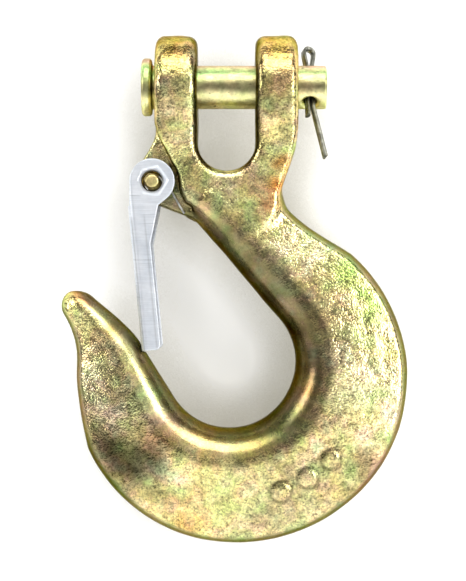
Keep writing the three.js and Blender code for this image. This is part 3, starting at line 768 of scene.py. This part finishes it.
def hook_field(xs, ys, zs):
    """The whole forging: the bent bar, the clevis with its slot, and the latch's notch, pocket and lug."""
    x, z = np.meshgrid(xs, zs, indexing="ij")
    y = np.abs(ys)[None, :, None]
    field = run_field(xs, ys, zs)

    notch = plate_field(x, z, seat_outline())
    field = soft_max(field, -notch, NOTCH_SOFT)

    front = plate_field(x, z, clevis_outline())
    yy, zz = np.meshgrid(ys, zs, indexing="ij")
    side = polygon_field(yy, zz, side_outline())[None, :, :]
    clevis = round_max(front, side, CLEVIS_ROUND)
    flank = np.where(x > 0, FLANK[0] * x + FLANK[1] * z - FLANK[2], NO_FLANK)
    clevis = soft_max(clevis, flank[:, None, :], FLANK_SOFT)
    field = soft_min(field, clevis, NECK_FILLET)
    slot_z = SLOT_HALF - SLOT_DEPTH
    slot = np.where(z > slot_z, np.abs(x), np.hypot(x, z - slot_z))[:, None, :] - SLOT_HALF
    field = round_max(field, -slot, SLOT_ROUND)

    pocket = plate_field(x, z, pocket_outline())
    pocket = np.maximum(pocket, LUG_HALF - y)
    field = soft_max(field, -pocket, POCKET_SOFT)
    lug = plate_field(x, z, lug_outline())
    field = soft_min(field, round_max(lug, y - LUG_HALF, LUG_ROUND), LUG_FILLET)

    bore = np.hypot(ys[:, None], zs[None, :])[None] - (PIN_RADIUS + PIN_PLAY)
    field = soft_max(field, -bore, BORE_SOFT)
    pivot = np.hypot(x - PIVOT[0], z - PIVOT[1])[:, None, :] - (LATCH_PIN_RADIUS + LATCH_PIN_PRESS)
    return soft_max(field, -pivot, PIVOT_SOFT)


# Plating tints, by place in the hook's plane: x, z, radius, colour, weight.
TINTS = [
    (-15, 9, 5.5, (0.90, 0.62, 0.16), 0.85),
    (15, 9, 5.5, (0.94, 0.66, 0.18), 0.85),
    (15, -1, 4, (0.84, 0.58, 0.30), 0.5),
    (-15, -19, 5, (0.90, 0.88, 0.42), 0.5),
    (14.2, -30, 3.0, (0.86, 0.34, 0.08), 0.95),
    (16.8, -22.5, 2.4, (0.84, 0.40, 0.12), 0.9),
    (12.4, -35, 2.6, (0.80, 0.36, 0.14), 0.8),
    (20.5, -31, 3.0, (0.58, 0.76, 0.30), 0.8),
    (21, -42, 6, (0.74, 0.80, 0.36), 0.7),
    (29, -52, 7, (0.93, 0.85, 0.42), 0.8),
    (26, -47, 6, (1.0, 0.93, 0.56), 0.8),
    (15, -48, 5, (1.0, 0.92, 0.54), 0.6),
    (35, -66, 6, (0.96, 0.90, 0.52), 0.6),
    (41, -86, 6, (0.94, 0.88, 0.50), 0.5),
    (30, -46, 3.4, (0.60, 0.86, 0.30), 0.7),
    (36, -54, 4.5, (0.52, 0.88, 0.22), 0.85),
    (42, -63, 5, (0.52, 0.86, 0.22), 0.85),
    (30, -66, 8, (0.82, 0.62, 0.36), 0.7),
    (44, -80, 5, (0.60, 0.66, 0.25), 0.7),
    (35, -90, 9, (0.90, 0.80, 0.50), 0.6),
    (33, -78, 7, (0.78, 0.78, 0.44), 0.5),
    (-6, -103, 6, (0.95, 0.66, 0.26), 0.7),
    (8, -104, 6, (0.86, 0.80, 0.24), 0.7),
    (22, -88, 5, (0.92, 0.58, 0.16), 0.7),
    (20, -70, 6, (0.50, 0.40, 0.20), 0.7),
    (42, -112, 6, (0.60, 0.46, 0.26), 0.7),
    (12, -126, 9, (0.90, 0.76, 0.48), 0.6),
    (-12, -127, 6, (0.72, 0.46, 0.14), 0.8),
    (-40, -66, 5, (0.95, 0.88, 0.46), 0.8),
    (-43, -62, 2.6, (0.68, 0.36, 0.14), 0.8),
    (-38, -85, 6, (0.84, 0.76, 0.58), 0.6),
    (-35, -72, 3.6, (0.52, 0.34, 0.12), 0.6),
    (-30, -76, 4.5, (0.60, 0.66, 0.36), 0.6),
    (-37, -94, 4.5, (0.86, 0.66, 0.58), 0.5),
    (-25, -90, 6, (0.58, 0.64, 0.36), 0.7),
    (-20, -103, 5, (0.92, 0.60, 0.26), 0.6),
]
# Darker patches, partly darker plating and partly painted shade: x, z, radius, how dark.
STAINS_AND_PAINTED_SHADE = [
    (-33, -107, 8, 0.82),
    (-25, -110, 8, 0.62),
    (12, -127, 13, 0.26),
    (30, -112, 12, 0.24),
    (4, -112, 9, 0.12),
    (-27, -113, 8, 0.62),
    (-21, -105, 6, 0.42),
    (-9, -36, 4, 0.40),
    (-2, -42, 5, 0.50),
    (6, -52, 5.5, 0.55),
    (13, -62, 5.5, 0.62),
    (20, -72, 5, 0.62),
    (25, -82, 4, 0.55),
    (-17, -3, 5, 0.45),
    (-18.5, -12, 3.4, 0.5),
    (-13, -8, 3, 0.4),
    (11.5, -6, 3, 0.5),
    (16, -2, 5, 0.15),
    (19, -12, 3, 0.3),
    (-9.5, -21, 3, 0.4),
    (-15, 9, 8, 0.36),
    (15, 9, 8, 0.28),
    (44, -68, 5, 0.35),
    (25, -117, 9, 0.15),
    (34, -64, 4, 0.25),
    (40, -110, 5, 0.35),
    (-28, -66, 5, 0.25),
]
# Three plain round pips from the die, on the front face.
PIPS = [(15.8, -118.3), (23.6, -114.4), (30.4, -109.0)]
PIP_RADIUS = 2.6
PIP_HEIGHT = 0.8
PIP_EDGE = 3.1  # radius of the line of painted shade round a pip

GOLD = (0.80, 0.70, 0.33)
RIM_PINK = (0.85, 0.58, 0.44)
RIM_GREEN = (0.62, 0.70, 0.36)
# Tints that wander over the gold: colour, size of the lumps, seed, strength.
WASHES = [
    ((0.86, 0.80, 0.50), 8, 11, 0.9),
    ((0.56, 0.53, 0.24), 6.5, 12, 0.55),
    ((0.84, 0.63, 0.44), 3.6, 13, 0.55),
    ((0.62, 0.74, 0.34), 3.2, 14, 0.6),
]


def fade(value, start, end):
    """From 0 at start to 1 at end, either way round."""
    return share((value - start) / (end - start))


def spots(x, z, cx, cz, radius):
    """Soft round spots in the hook's plane."""
    return np.exp(-((x - cx) ** 2 + (z - cz) ** 2) / radius ** 2)


def forged_places(points, normals):
    """Where each point is on the forging, with masks from 0 to 1 that its rise and its paint share."""
    x, y, z = points.T
    distance, depth = throat_frame(x, z)
    inner, outer, crest, _, _, band = section_table(np.clip(distance, 0, TOTAL)).T
    on_run = share((-z - 30) / 8)
    bead = on_run * share((inner + crest * 0.92 - depth) / 1.6)
    rim = on_run * share((depth - (outer - band * 0.85)) / 1.0)
    smooth = share(np.maximum(bead * 0.85, rim * 0.9))
    slot_wall = share(np.abs(normals[:, 0]) * 1.4 - 0.55) * (1 - on_run)
    return SimpleNamespace(
        x=x, y=y, z=z, distance=distance, depth=depth, inner=inner, outer=outer, crest=crest,
        on_run=on_run, rim=rim, grain=np.clip(1 - smooth, 0.1, 1) * (1 - 0.5 * slot_wall),
        across=normals[:, 0],
    )


def forged_rise(points, at):
    """Slow waves, scale pits, a fine grain, the flash line and the pips, all along the normal."""
    rise = 0.13 * lumps(points, 10, 3) + 0.085 * lumps(points, 3.6, 4) * (0.3 + 0.7 * at.grain)
    rise += at.grain * (0.05 * lumps(points, 1.9, 5) + 0.04 * lumps(points, 1.15, 6))
    back = share((at.depth - (at.outer - 1.2)) / 1.0)
    rise += 0.22 * at.on_run * np.exp(-(at.y / 0.7) ** 2) * back
    for px, pz in PIPS:
        ring = np.hypot(at.x - px, at.z - pz)
        rise += (at.y < 0) * PIP_HEIGHT / (1 + np.exp((ring - PIP_RADIUS) / 0.28))
    return rise


def forged_tint(points, at, near_x, near_z):
    """Gold that turns to olive, green and pink from place to place."""
    tint = np.tile(np.array(GOLD), (len(points), 1))
    for colour, size, seed, reach in WASHES:
        w = share(lumps(points, size, seed) * 1.6)[:, None] * reach
        tint = tint * (1 - w) + np.array(colour) * w
    for cx, cz, radius, colour, weight in TINTS:
        w = weight * spots(near_x, near_z, cx, cz, radius)[:, None]
        tint = tint * (1 - w) + np.array(colour) * w
    edge_hue = share(lumps(points, 14, 31) + 0.25)[:, None]
    rim_tint = np.array(RIM_PINK) * edge_hue + np.array(RIM_GREEN) * (1 - edge_hue)
    rim = 0.7 * at.rim[:, None]
    return tint * (1 - rim) + rim_tint * rim


def forged_shade(points, at, near_x, near_z):
    """How light the plating is painted: painted shade keeps it dull in recesses, on edges, on the slot's
    walls and along the throat, with a painted dark reflection along the crest; darker patches and a random
    tone vary it.
    """
    # Painted shade along the outer edge band.
    shade = 1 - 0.62 * at.rim
    # Darker patches: part stain, part painted shade.
    for cx, cz, radius, dark in STAINS_AND_PAINTED_SHADE:
        shade *= 1 - dark * spots(near_x, near_z, cx, cz, radius)
    shade *= 1 - 0.25 * share(lumps(points, 2.2, 41) * 1.5) * at.grain
    shade *= 1 - 0.2 * share(lumps(points, 7, 42) * 1.6) * at.grain

    # Painted shade along the throat's edge.
    throat_edge = at.on_run * share((at.inner + 3.2 - at.depth) / 1.6)
    shade *= 1 - 0.66 * throat_edge
    # Painted shade along the inner bead of the shank and bowl.
    shank_bead = at.on_run * share((at.inner + at.crest * 1.35 - at.depth) / 4)
    shade *= 1 - 0.62 * shank_bead * fade(at.distance, 4, 12) * fade(at.distance, 92, 74)

    # Painted shade on the slot's walls, which face each other.
    facing_slot = share(np.abs(at.across) * 1.7 - 0.35)
    facing_slot *= (at.x * at.across < 0) * (np.abs(at.x) < 13) * (1 - at.on_run)
    shade *= 1 - 0.68 * facing_slot

    # A painted dark reflection along the crest of the section.
    crest_line = np.exp(-((at.depth - at.inner - at.crest - 0.4) / 1.15) ** 2) * at.on_run
    shade *= 1 - 0.5 * crest_line * fade(at.distance, 20, 32) * fade(at.distance, 118, 104)

    # Painted shade in the latch's pocket round the pivot.
    recess = spots(at.x, at.z, *PIVOT, 11.5) * (np.abs(at.y) < 9.6)
    # A line of painted shade round each pip.
    pip_edge = np.zeros(len(points))
    for px, pz in PIPS:
        ring = np.hypot(at.x - px, at.z - pz)
        pip_edge += (at.y < 0) * np.exp(-((ring - PIP_EDGE) / 0.55) ** 2)
    return shade * (1 - 0.62 * recess) * (1 - 0.6 * pip_edge)


def hook_body():
    low_box, high_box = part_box("hook_body")
    margin, half_rows = 2.5, 30.5
    low = [v / MM - margin for v in low_box]
    high = [v / MM + margin for v in high_box]
    low[1], high[1] = -HOOK_STEP * half_rows, HOOK_STEP * half_rows
    field = hook_field(*grid(low, high, HOOK_STEP))
    points, quads = skin(field, low, HOOK_STEP)
    normals = point_normals(points, quads)
    at = forged_places(points, normals)
    points = points + normals * forged_rise(points, at)[:, None]
    wander = np.stack([lumps(points, 4, 21), lumps(points, 4, 22)], 1) * 2.2
    near_x, near_z = at.x + wander[:, 0], at.z + wander[:, 1]
    tint = forged_tint(points, at, near_x, near_z)
    # The plating's tints are multiplied by painted shade here.
    tint = tint * forged_shade(points, at, near_x, near_z)[:, None]
    make_object("hook_forging", points, quads, plated_forging(), "hook", "hook_body",
                values={"grain": at.grain}, colours={"mesh_colour": tint})


# ---- clevis pin

def turn_with_pin(points):
    c, s = math.cos(PIN_TURN), math.sin(PIN_TURN)
    x, y, z = points.T
    return np.stack([x, y * c + z * s, -y * s + z * c], 1)


PIN_GOLD = (0.82, 0.74, 0.36)
PIN_PINK = (0.84, 0.58, 0.48)
PIN_GREEN = (0.62, 0.92, 0.36)
PIN_PAINTED_DARK_REFLECTION = (0.06, 0.05, 0.03)
PIN_PAINTED_HIGHLIGHT = (1.0, 0.93, 0.48)
# Bands that run along the pin: colour, angle about its axis, width, strength. The dark band is a painted
# dark reflection and the bright one a painted highlight; the pink and green ones are tints.
PIN_BANDS = [
    (PIN_PINK, -0.42, 0.3, 0.85),
    (PIN_GREEN, -1.0, 0.3, 0.9),
    (PIN_PAINTED_DARK_REFLECTION, -1.80, 0.36, 1.0),
    (PIN_PAINTED_HIGHLIGHT, -2.15, 0.35, 0.9),
    (PIN_PINK, 1.9, 0.6, 0.5),
    (PIN_GREEN, 2.8, 0.4, 0.5),
]


def pin_tint(points, angle):
    tint = np.tile(np.array(PIN_GOLD), (len(points), 1))
    for colour, turn, width, reach in PIN_BANDS:
        off = np.arctan2(np.sin(angle - turn), np.cos(angle - turn))
        w = reach * np.exp(-(off / width) ** 2)[:, None]
        tint = tint * (1 - w) + np.array(colour) * w
    return tint * (1 - 0.25 * share(lumps(points, 1.6, 54) * 1.5))[:, None]


def clevis_pin():
    low = np.array([PIN_HEAD[0] - 1.2, -10, -10])
    xs, ys, zs = grid(low, [PIN_END + 1.2, 10, 10], PIN_STEP)
    x = xs[:, None, None]
    radius = np.hypot(ys[:, None], zs[None, :])[None]
    end_round, head_round, fillet, hole_soft = 0.55, 1.05, 0.6, 0.5
    shank = round_max(radius - PIN_RADIUS, np.maximum(x - PIN_END, PIN_HEAD[0] + 1 - x), end_round)
    head_middle = sum(PIN_HEAD) / 2
    head_half = (PIN_HEAD[1] - PIN_HEAD[0]) / 2
    head = round_max(radius - PIN_HEAD_RADIUS, np.abs(x - head_middle) - head_half, head_round)
    field = soft_min(shank, head, fillet)
    across = np.hypot(x - CROSS_HOLE_X, ys[None, :, None])
    within = np.minimum(np.abs(ys), PIN_RADIUS)
    surface = np.sqrt(np.maximum(PIN_RADIUS ** 2 - within ** 2, 0))[None, :, None]
    mouth_depth = 1.5
    widen = share((np.abs(zs)[None, None, :] - surface + mouth_depth) / mouth_depth)
    hole = across - (CROSS_HOLE_RADIUS + (CROSS_HOLE_MOUTH - CROSS_HOLE_RADIUS) * widen ** 1.5)
    field = soft_max(field, -hole, hole_soft)
    points, quads = skin(field.astype(np.float32), low, PIN_STEP)
    normals = point_normals(points, quads)
    _, y, z = points.T
    rise = 0.035 * lumps(points, 2.4, 51) + 0.02 * lumps(points, 1.1, 52)
    points = points + normals * rise[:, None]
    angle = np.arctan2(y, z) + PIN_TURN + 0.12 * lumps(points, 5, 53)
    # The tint holds a painted dark reflection and a painted highlight along the pin.
    tint = pin_tint(points, angle)
    make_object("pin_turning", turn_with_pin(points), quads, plated_turning("yellow_zinc_pin", (1, 0, 0)),
                "pin", "clevis_pin", colours={"mesh_colour": tint})


# ---- wires

def sweep(path, section, flat_side=None):
    """A section carried along a path of points. Its first axis keeps to flat_side, if that is given."""
    path = np.asarray(path, float)
    tangents = np.gradient(path, axis=0)
    tangents /= np.linalg.norm(tangents, axis=1, keepdims=True)
    rings = []
    side = np.array((0, 1, 0) if flat_side is None else flat_side, float)
    for centre, ahead in zip(path, tangents):
        side = side - ahead * (side @ ahead)
        side /= np.linalg.norm(side)
        out = np.cross(side, ahead)
        rings.append(centre + section[:, :1] * side + section[:, 1:] * out)
        if flat_side is not None:
            side = np.array(flat_side, float)
    points = np.concatenate(rings)
    count = len(section)
    faces = []
    for r in range(len(path) - 1):
        for k in range(count):
            a, b = r * count + k, r * count + (k + 1) % count
            faces.append((a, b, b + count, a + count))
    points = points.tolist()
    for ring, flip in ((0, True), (len(path) - 1, False)):
        centre = len(points)
        points.append(path[ring].tolist())
        for k in range(count):
            a, b = ring * count + k, ring * count + (k + 1) % count
            faces.append((centre, b, a) if flip else (centre, a, b))
    return np.array(points), faces


def bezier(a, b, c, d, steps):
    t = np.linspace(0, 1, steps + 1)[:, None]
    a, b, c, d = map(np.array, (a, b, c, d))
    return (a * (1 - t) ** 3 + 3 * b * t * (1 - t) ** 2 + 3 * c * t * t * (1 - t) + d * t ** 3).tolist()


def even(path, spacing):
    """The same path with its points a steady distance apart."""
    path = np.array(path, float)
    steps = np.linalg.norm(np.diff(path, axis=0), axis=1)
    keep = np.concatenate([[True], steps > 1e-6])
    path = path[keep]
    along = np.concatenate([[0], np.cumsum(np.linalg.norm(np.diff(path, axis=0), axis=1))])
    wanted = np.linspace(0, along[-1], int(along[-1] / spacing) + 1)
    return np.stack([np.interp(wanted, along, path[:, i]) for i in range(path.shape[1])], 1)


def cotter_pin():
    leg = (COTTER_GAP + COTTER_LEG) / 2
    s, c = math.sin(COTTER_BEND), math.cos(COTTER_BEND)
    bend_z = -PIN_RADIUS - COTTER_BEND_RADIUS
    eye_z = PIN_RADIUS + COTTER_EYE_REACH - COTTER_EYE
    foot_z = PIN_RADIUS + COTTER_EYE_FOOT
    ease_z, flank_z = foot_z + COTTER_EYE_EASE, eye_z - COTTER_EYE_FLANK
    bent = (leg + COTTER_BEND_RADIUS * s, bend_z - COTTER_BEND_RADIUS * c)
    line = [(leg + COTTER_LONG * s, bend_z - COTTER_LONG * c), bent]
    line += bezier(bent, (leg, bend_z), (leg, bend_z), (leg, bend_z + COTTER_BEND_RADIUS), 12)
    line += [(leg, foot_z)]
    line += bezier((leg, foot_z), (leg, ease_z), (COTTER_EYE, flank_z), (COTTER_EYE, eye_z), 14)
    line += arc(0, eye_z, COTTER_EYE, 0, math.pi, 24)
    line += bezier((-COTTER_EYE, eye_z), (-COTTER_EYE, flank_z), (-leg, ease_z), (-leg, foot_z), 14)
    line += [(-leg, -PIN_RADIUS - COTTER_SHORT)]
    flat = even(line, 0.24)
    path = np.stack([flat[:, 0], np.zeros(len(flat)), flat[:, 1]], 1)
    low, edge, inset = -COTTER_LEG / 2, 0.16, 0.14
    crown = []
    for a in np.linspace(0, math.pi, 17):
        crown.append((COTTER_HALF * math.cos(a), low + edge + (COTTER_LEG - edge) * math.sin(a)))
    foot = [(-COTTER_HALF + inset, low), (0, low), (COTTER_HALF - inset, low)]
    section = np.array(crown + foot)[::-1] * (1, -1)
    points, faces = sweep(path, section, flat_side=(0, 1, 0))
    points += lumps(points, 1.3, 61)[:, None] * 0.02
    c, s = math.cos(COTTER_TURN), math.sin(COTTER_TURN)
    x, y, z = points.T
    points = np.stack([CROSS_HOLE_X + x * c - y * s, x * s + y * c, z], 1)
    steel = dull_wire("plain_steel", (0.24, 0.24, 0.20), 420)
    make_object("cotter_wire", turn_with_pin(points), faces, steel, "cotter", "cotter_pin",
                flat_angle=50)


def between(a, b, t):
    """The place a share t of the way from a to b."""
    return tuple(p * (1 - t) + q * t for p, q in zip(a, b))


def spring_half(side):
    """The wire's axis on one side of the lug, from its free leg to the middle of the latch's web."""
    corner = point_off(0, 0)
    leg_end = (corner[0] - PIVOT[0] - LEG_CLEARANCE - LEG_END, corner[1] - PIVOT[1] + LEG_END)
    bx, bz = from_latch(-LATCH_REACH + SHEET + SPRING_GAP + WIRE / 2, -BRIDGE_DROP)
    bridge = (bx - PIVOT[0], bz - PIVOT[1])
    start = tangent_angle(*leg_end, COIL_RADIUS, 1)
    leave = tangent_angle(*bridge, COIL_RADIUS, -1) + 2 * math.pi
    turn = leave - start + 2 * math.pi * COIL_TURNS
    outer = SPRING_SIDE + COIL_PITCH * turn / (2 * math.pi)
    coil = []
    for t in np.linspace(0, 1, 161):
        angle = start + turn * t
        along = SPRING_SIDE + (outer - SPRING_SIDE) * t
        coil.append((COIL_RADIUS * math.cos(angle), along, COIL_RADIUS * math.sin(angle)))
    tip = (leg_end[0], SPRING_SIDE, leg_end[1])
    corner_at = (bridge[0], outer, bridge[1])
    inward = (bridge[0], outer - BRIDGE_BEND, bridge[1])
    bend_from = 0.82  # of the way from the coil to the bridge
    line = [between(tip, coil[0], t) for t in np.linspace(0, 1, 12)[:-1]] + coil
    line += [between(coil[-1], corner_at, t) for t in np.linspace(0, bend_from, 9)[1:]]
    line += bezier(line[-1], corner_at, corner_at, inward, 10)[1:]
    line.append((bridge[0], 0, bridge[1]))
    return [(x, side * y, z) for x, y, z in line]


def latch_spring():
    path = np.array(spring_half(-1) + spring_half(1)[::-1][1:])
    path = even(path, 0.22)
    path += np.array([PIVOT[0], 0, PIVOT[1]])
    angles = np.linspace(0, 2 * math.pi, 15)[:-1]
    section = np.stack([np.cos(angles), np.sin(angles)], 1) * WIRE / 2
    points, faces = sweep(path, section)
    steel = dull_wire("spring_wire", (0.66, 0.67, 0.66), 500)
    thing = make_object("torsion_wire", points, faces, steel, None, "latch_spring",
                        flat_angle=50)
    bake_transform(thing)


# ---- latch and its pin

def cheek_outline():
    """A cheek of the latch, in the latch's own frame: the round ear, and the arm down to the foot."""
    left, right, bottom = -LATCH_REACH, -LATCH_REACH + LATCH_ARM, -LATCH_LENGTH
    shoulder = tangent_angle(*LATCH_SHOULDER, LATCH_EAR, 1)
    touch = math.pi - LATCH_TURN
    drop = (LATCH_EAR * math.sin(touch) + LATCH_TOP) / math.cos(LATCH_TURN)
    foot = (LATCH_EAR * math.cos(touch) - drop * math.sin(LATCH_TURN), -LATCH_TOP)
    return (
        [(left, -LATCH_TOP), (left, bottom)]
        + arc(right - LATCH_CORNER, bottom + LATCH_CORNER, LATCH_CORNER, -math.pi / 2, 0, 10)
        + [(right, -LATCH_WAIST), LATCH_SHOULDER]
        + arc(0, 0, LATCH_EAR, shoulder, touch, 60) + [foot]
    )


# Flats of the collar pressed up round the latch's hole: angle in degrees, and reach.
COLLAR_FLATS = [(98, 3.75), (31, 3.9), (-38, 3.85), (-103, 3.8), (-160, 3.8), (152, 3.85)]
# Lines of painted shade along the folds of the arm: place across the arm, and strength.
FOLD_LINES = [(-LATCH_REACH + 0.95, 0.5), (-LATCH_REACH + LATCH_ARM - 1.1, 0.3)]


def latch():
    low = np.array([-9.2, -LATCH_OUTER - 1.8, -LATCH_LENGTH - 1.2])
    xs, ys, zs = grid(low, [7.9, LATCH_OUTER + 1.8, 7.9], LATCH_STEP)
    x, z = np.meshgrid(xs, zs, indexing="ij")
    y = np.abs(ys)[None, :, None]
    outline = plate_field(x, z, cheek_outline())
    web_side = -LATCH_REACH - x[:, None, :]
    fold_round, edge_round, inner_round, soft = 2.1, 0.28, 0.5, 0.3
    outside = round_max(web_side, y - LATCH_OUTER, fold_round)
    field = round_max(outline, outside, edge_round)
    inside = round_max(web_side + SHEET, y - LATCH_INNER, inner_round)
    field = soft_max(field, -inside, soft)
    hexagon = np.full(x.shape, -1e9)
    for turn, reach in COLLAR_FLATS:
        t = math.radians(turn)
        hexagon = np.maximum(hexagon, x * math.cos(t) + z * math.sin(t) - reach)
    rise, root = 0.4, 1
    thick = np.maximum(y - LATCH_OUTER - rise, LATCH_OUTER - root - y)
    collar = round_max(hexagon[:, None, :], thick, 0.2)
    field = soft_min(field, collar, 0.25)
    hole = np.hypot(x, z)[:, None, :] - LATCH_HOLE
    field = soft_max(field, -hole, soft)
    points, quads = skin(field.astype(np.float32), low, LATCH_STEP, relax=1)
    normals = point_normals(points, quads)
    points = points + normals * (0.03 * lumps(points, 7, 71) + 0.012 * lumps(points, 2, 72))[:, None]
    x, y, z = points.T
    mx, mz = from_latch(x, z)
    # Painted shade round the hole and over the collar.
    latch_painted_shade = share((3.7 - np.hypot(x, z)) / 0.6)
    arm = share((-z - 9) / 2)
    for fold, strength in FOLD_LINES:
        latch_painted_shade += strength * arm * np.exp(-((x - fold) / 0.2) ** 2)
    make_object("latch_pressing", np.stack([mx, y, mz], 1), quads, bright_sheet(), "latch", "latch",
                values={"latch_painted_shade": latch_painted_shade})


def latch_pin():
    """A pressed pin with domed ends, each with a small punched middle."""
    end = LATCH_OUTER + COLLAR_HEIGHT - LATCH_PIN_SINK
    low = np.array([-3.2, -end - 0.8, -3.2])
    xs, ys, zs = grid(low, [3.2, end + 0.8, 3.2], LATCH_PIN_STEP)
    radius = np.hypot(xs[:, None], zs[None, :])[:, None, :]
    y = np.abs(ys)[None, :, None]
    end_radius = 2.05
    neck = end_radius + (LATCH_PIN_RADIUS - end_radius) * (y < LATCH_OUTER - 1.2)
    dome = end - 0.55 * (radius / LATCH_PIN_RADIUS) ** 2.2 - 0.12 * np.exp(-(radius / 0.8) ** 2)
    field = round_max(radius - neck, y - dome, 0.35)
    points, quads = skin(field.astype(np.float32), low, LATCH_PIN_STEP)
    normals = point_normals(points, quads)
    points = points + normals * (0.03 * lumps(points, 1.1, 81))[:, None]
    tint = np.tile(np.array([0.74, 0.62, 0.28]), (len(points), 1))
    tint = tint * (0.9 + 0.2 * lumps(points, 1.4, 82))[:, None]
    points = points + np.array([PIVOT[0], 0, PIVOT[1]])
    make_object("latch_pin_turning", points, quads, plated_turning("yellow_zinc_rivet", (0, 1, 0)),
                "hook", "latch_pin", colours={"mesh_colour": tint})


# ---- stage, lights and camera

def stage():
    """One sheet of pale board: a wall close behind the hook that sweeps forward into the floor."""
    wall_y, floor_z, bend, top, front, half_width = 0.030, -0.27, 0.09, 0.45, -1.6, 0.7
    line = [(wall_y, top), (wall_y, floor_z + bend)]
    for t in np.linspace(0, math.pi / 2, 14)[1:]:
        line.append((wall_y - bend + bend * math.cos(t), floor_z + bend - bend * math.sin(t)))
    line.append((front, floor_z))
    points = [(x, y, z) for x in (-half_width, half_width) for y, z in line]
    count = len(line)
    faces = [(k, k + 1, count + k + 1, count + k) for k in range(count - 1)]
    mesh = bpy.data.meshes.new("board")
    mesh.from_pydata(points, [], faces)
    mesh.polygons.foreach_set("use_smooth", [True] * len(faces))
    board = add_object("board", mesh)
    mesh.materials.append(pale_board())


def pale_board():
    """Pale board with a painted shadow: it darkens close to the hook, in its colour and its glow, and it
    isn't there when it is seen from behind.
    """
    n = Nodes("pale_board")
    tree = n.tree
    shade = n.add("ShaderNodeAmbientOcclusion", Distance=0.026)
    shade.samples = 8
    tone = n.ramp(shade.outputs["AO"], [
        (0.45, (0.30, 0.29, 0.25)), (0.76, (0.42, 0.41, 0.37)), (0.97, (0.88, 0.88, 0.88)),
    ])
    n.feed(n.shader, "Base_Color", tone)
    n.feed(n.shader, "Emission_Color", tone)
    n.feed(n.shader, "Emission_Strength", 0.30)
    n.feed(n.shader, "Roughness", 0.9)
    clear = tree.nodes.new("ShaderNodeBsdfTransparent")
    mixed = tree.nodes.new("ShaderNodeMixShader")
    faces_away = tree.nodes.new("ShaderNodeNewGeometry").outputs["Backfacing"]
    tree.links.new(faces_away, mixed.inputs[0])
    tree.links.new(n.shader.outputs[0], mixed.inputs[1])
    tree.links.new(clear.outputs[0], mixed.inputs[2])
    tree.links.new(mixed.outputs[0], tree.nodes["Material Output"].inputs["Surface"])
    return n.material


AIM = (0, 0, -0.06)  # the middle of the hook
# Area lamps, all aimed there: name, place, width, height, watts.
LAMPS = [
    ("softbox_top", (0.04, -0.38, 0.46), 0.70, 0.40, 3.0),
    ("softbox_right", (0.56, -0.42, 0.06), 0.30, 0.50, 3.3),
    ("softbox_left", (-0.60, -0.30, 0.14), 0.24, 0.42, 1.7),
    ("softbox_front", (0.06, -1.0, 0.06), 0.9, 0.9, 1.25),
    ("softbox_above", (0.0, 0.20, 0.60), 0.8, 0.3, 3.0),
]


def lamp(name, place, width, height, watts):
    data = bpy.data.lights.new(name, "AREA")
    data.shape = "RECTANGLE"
    data.size, data.size_y = width, height
    data.energy = watts
    thing = add_object(name, data)
    thing.location = place
    thing.rotation_euler = (Vector(AIM) - Vector(place)).to_track_quat("-Z", "Y").to_euler()


def room():
    """A white room to the camera, and a dim one to everything that it lights."""
    world = bpy.data.worlds.new("room")
    bpy.context.scene.world = world
    world.use_nodes = True
    tree = world.node_tree
    ground = tree.nodes["Background"]
    ground.inputs["Color"].default_value = (0.13, 0.13, 0.12, 1)
    seen = tree.nodes.new("ShaderNodeBackground")
    seen.inputs["Color"].default_value = (0.93, 0.93, 0.93, 1)
    mixed = tree.nodes.new("ShaderNodeMixShader")
    path = tree.nodes.new("ShaderNodeLightPath")
    tree.links.new(path.outputs["Is Camera Ray"], mixed.inputs[0])
    tree.links.new(ground.outputs[0], mixed.inputs[1])
    tree.links.new(seen.outputs[0], mixed.inputs[2])
    tree.links.new(mixed.outputs[0], tree.nodes["World Output"].inputs["Surface"])


def camera():
    """A long lens, square to the front of the hook."""
    data = bpy.data.cameras.new("camera")
    data.sensor_width = 36
    data.lens = 104.9
    thing = add_object("camera", data)
    thing.location = (0.00192, -0.500, -0.05995)
    thing.rotation_euler = (math.pi / 2, 0, 0)
    bpy.context.scene.camera = thing


hook_body()
clevis_pin()
cotter_pin()
latch()
latch_pin()
latch_spring()
stage()
for row in LAMPS:
    lamp(*row)
room()
camera()
bpy.context.scene.view_settings.view_transform = "Standard"
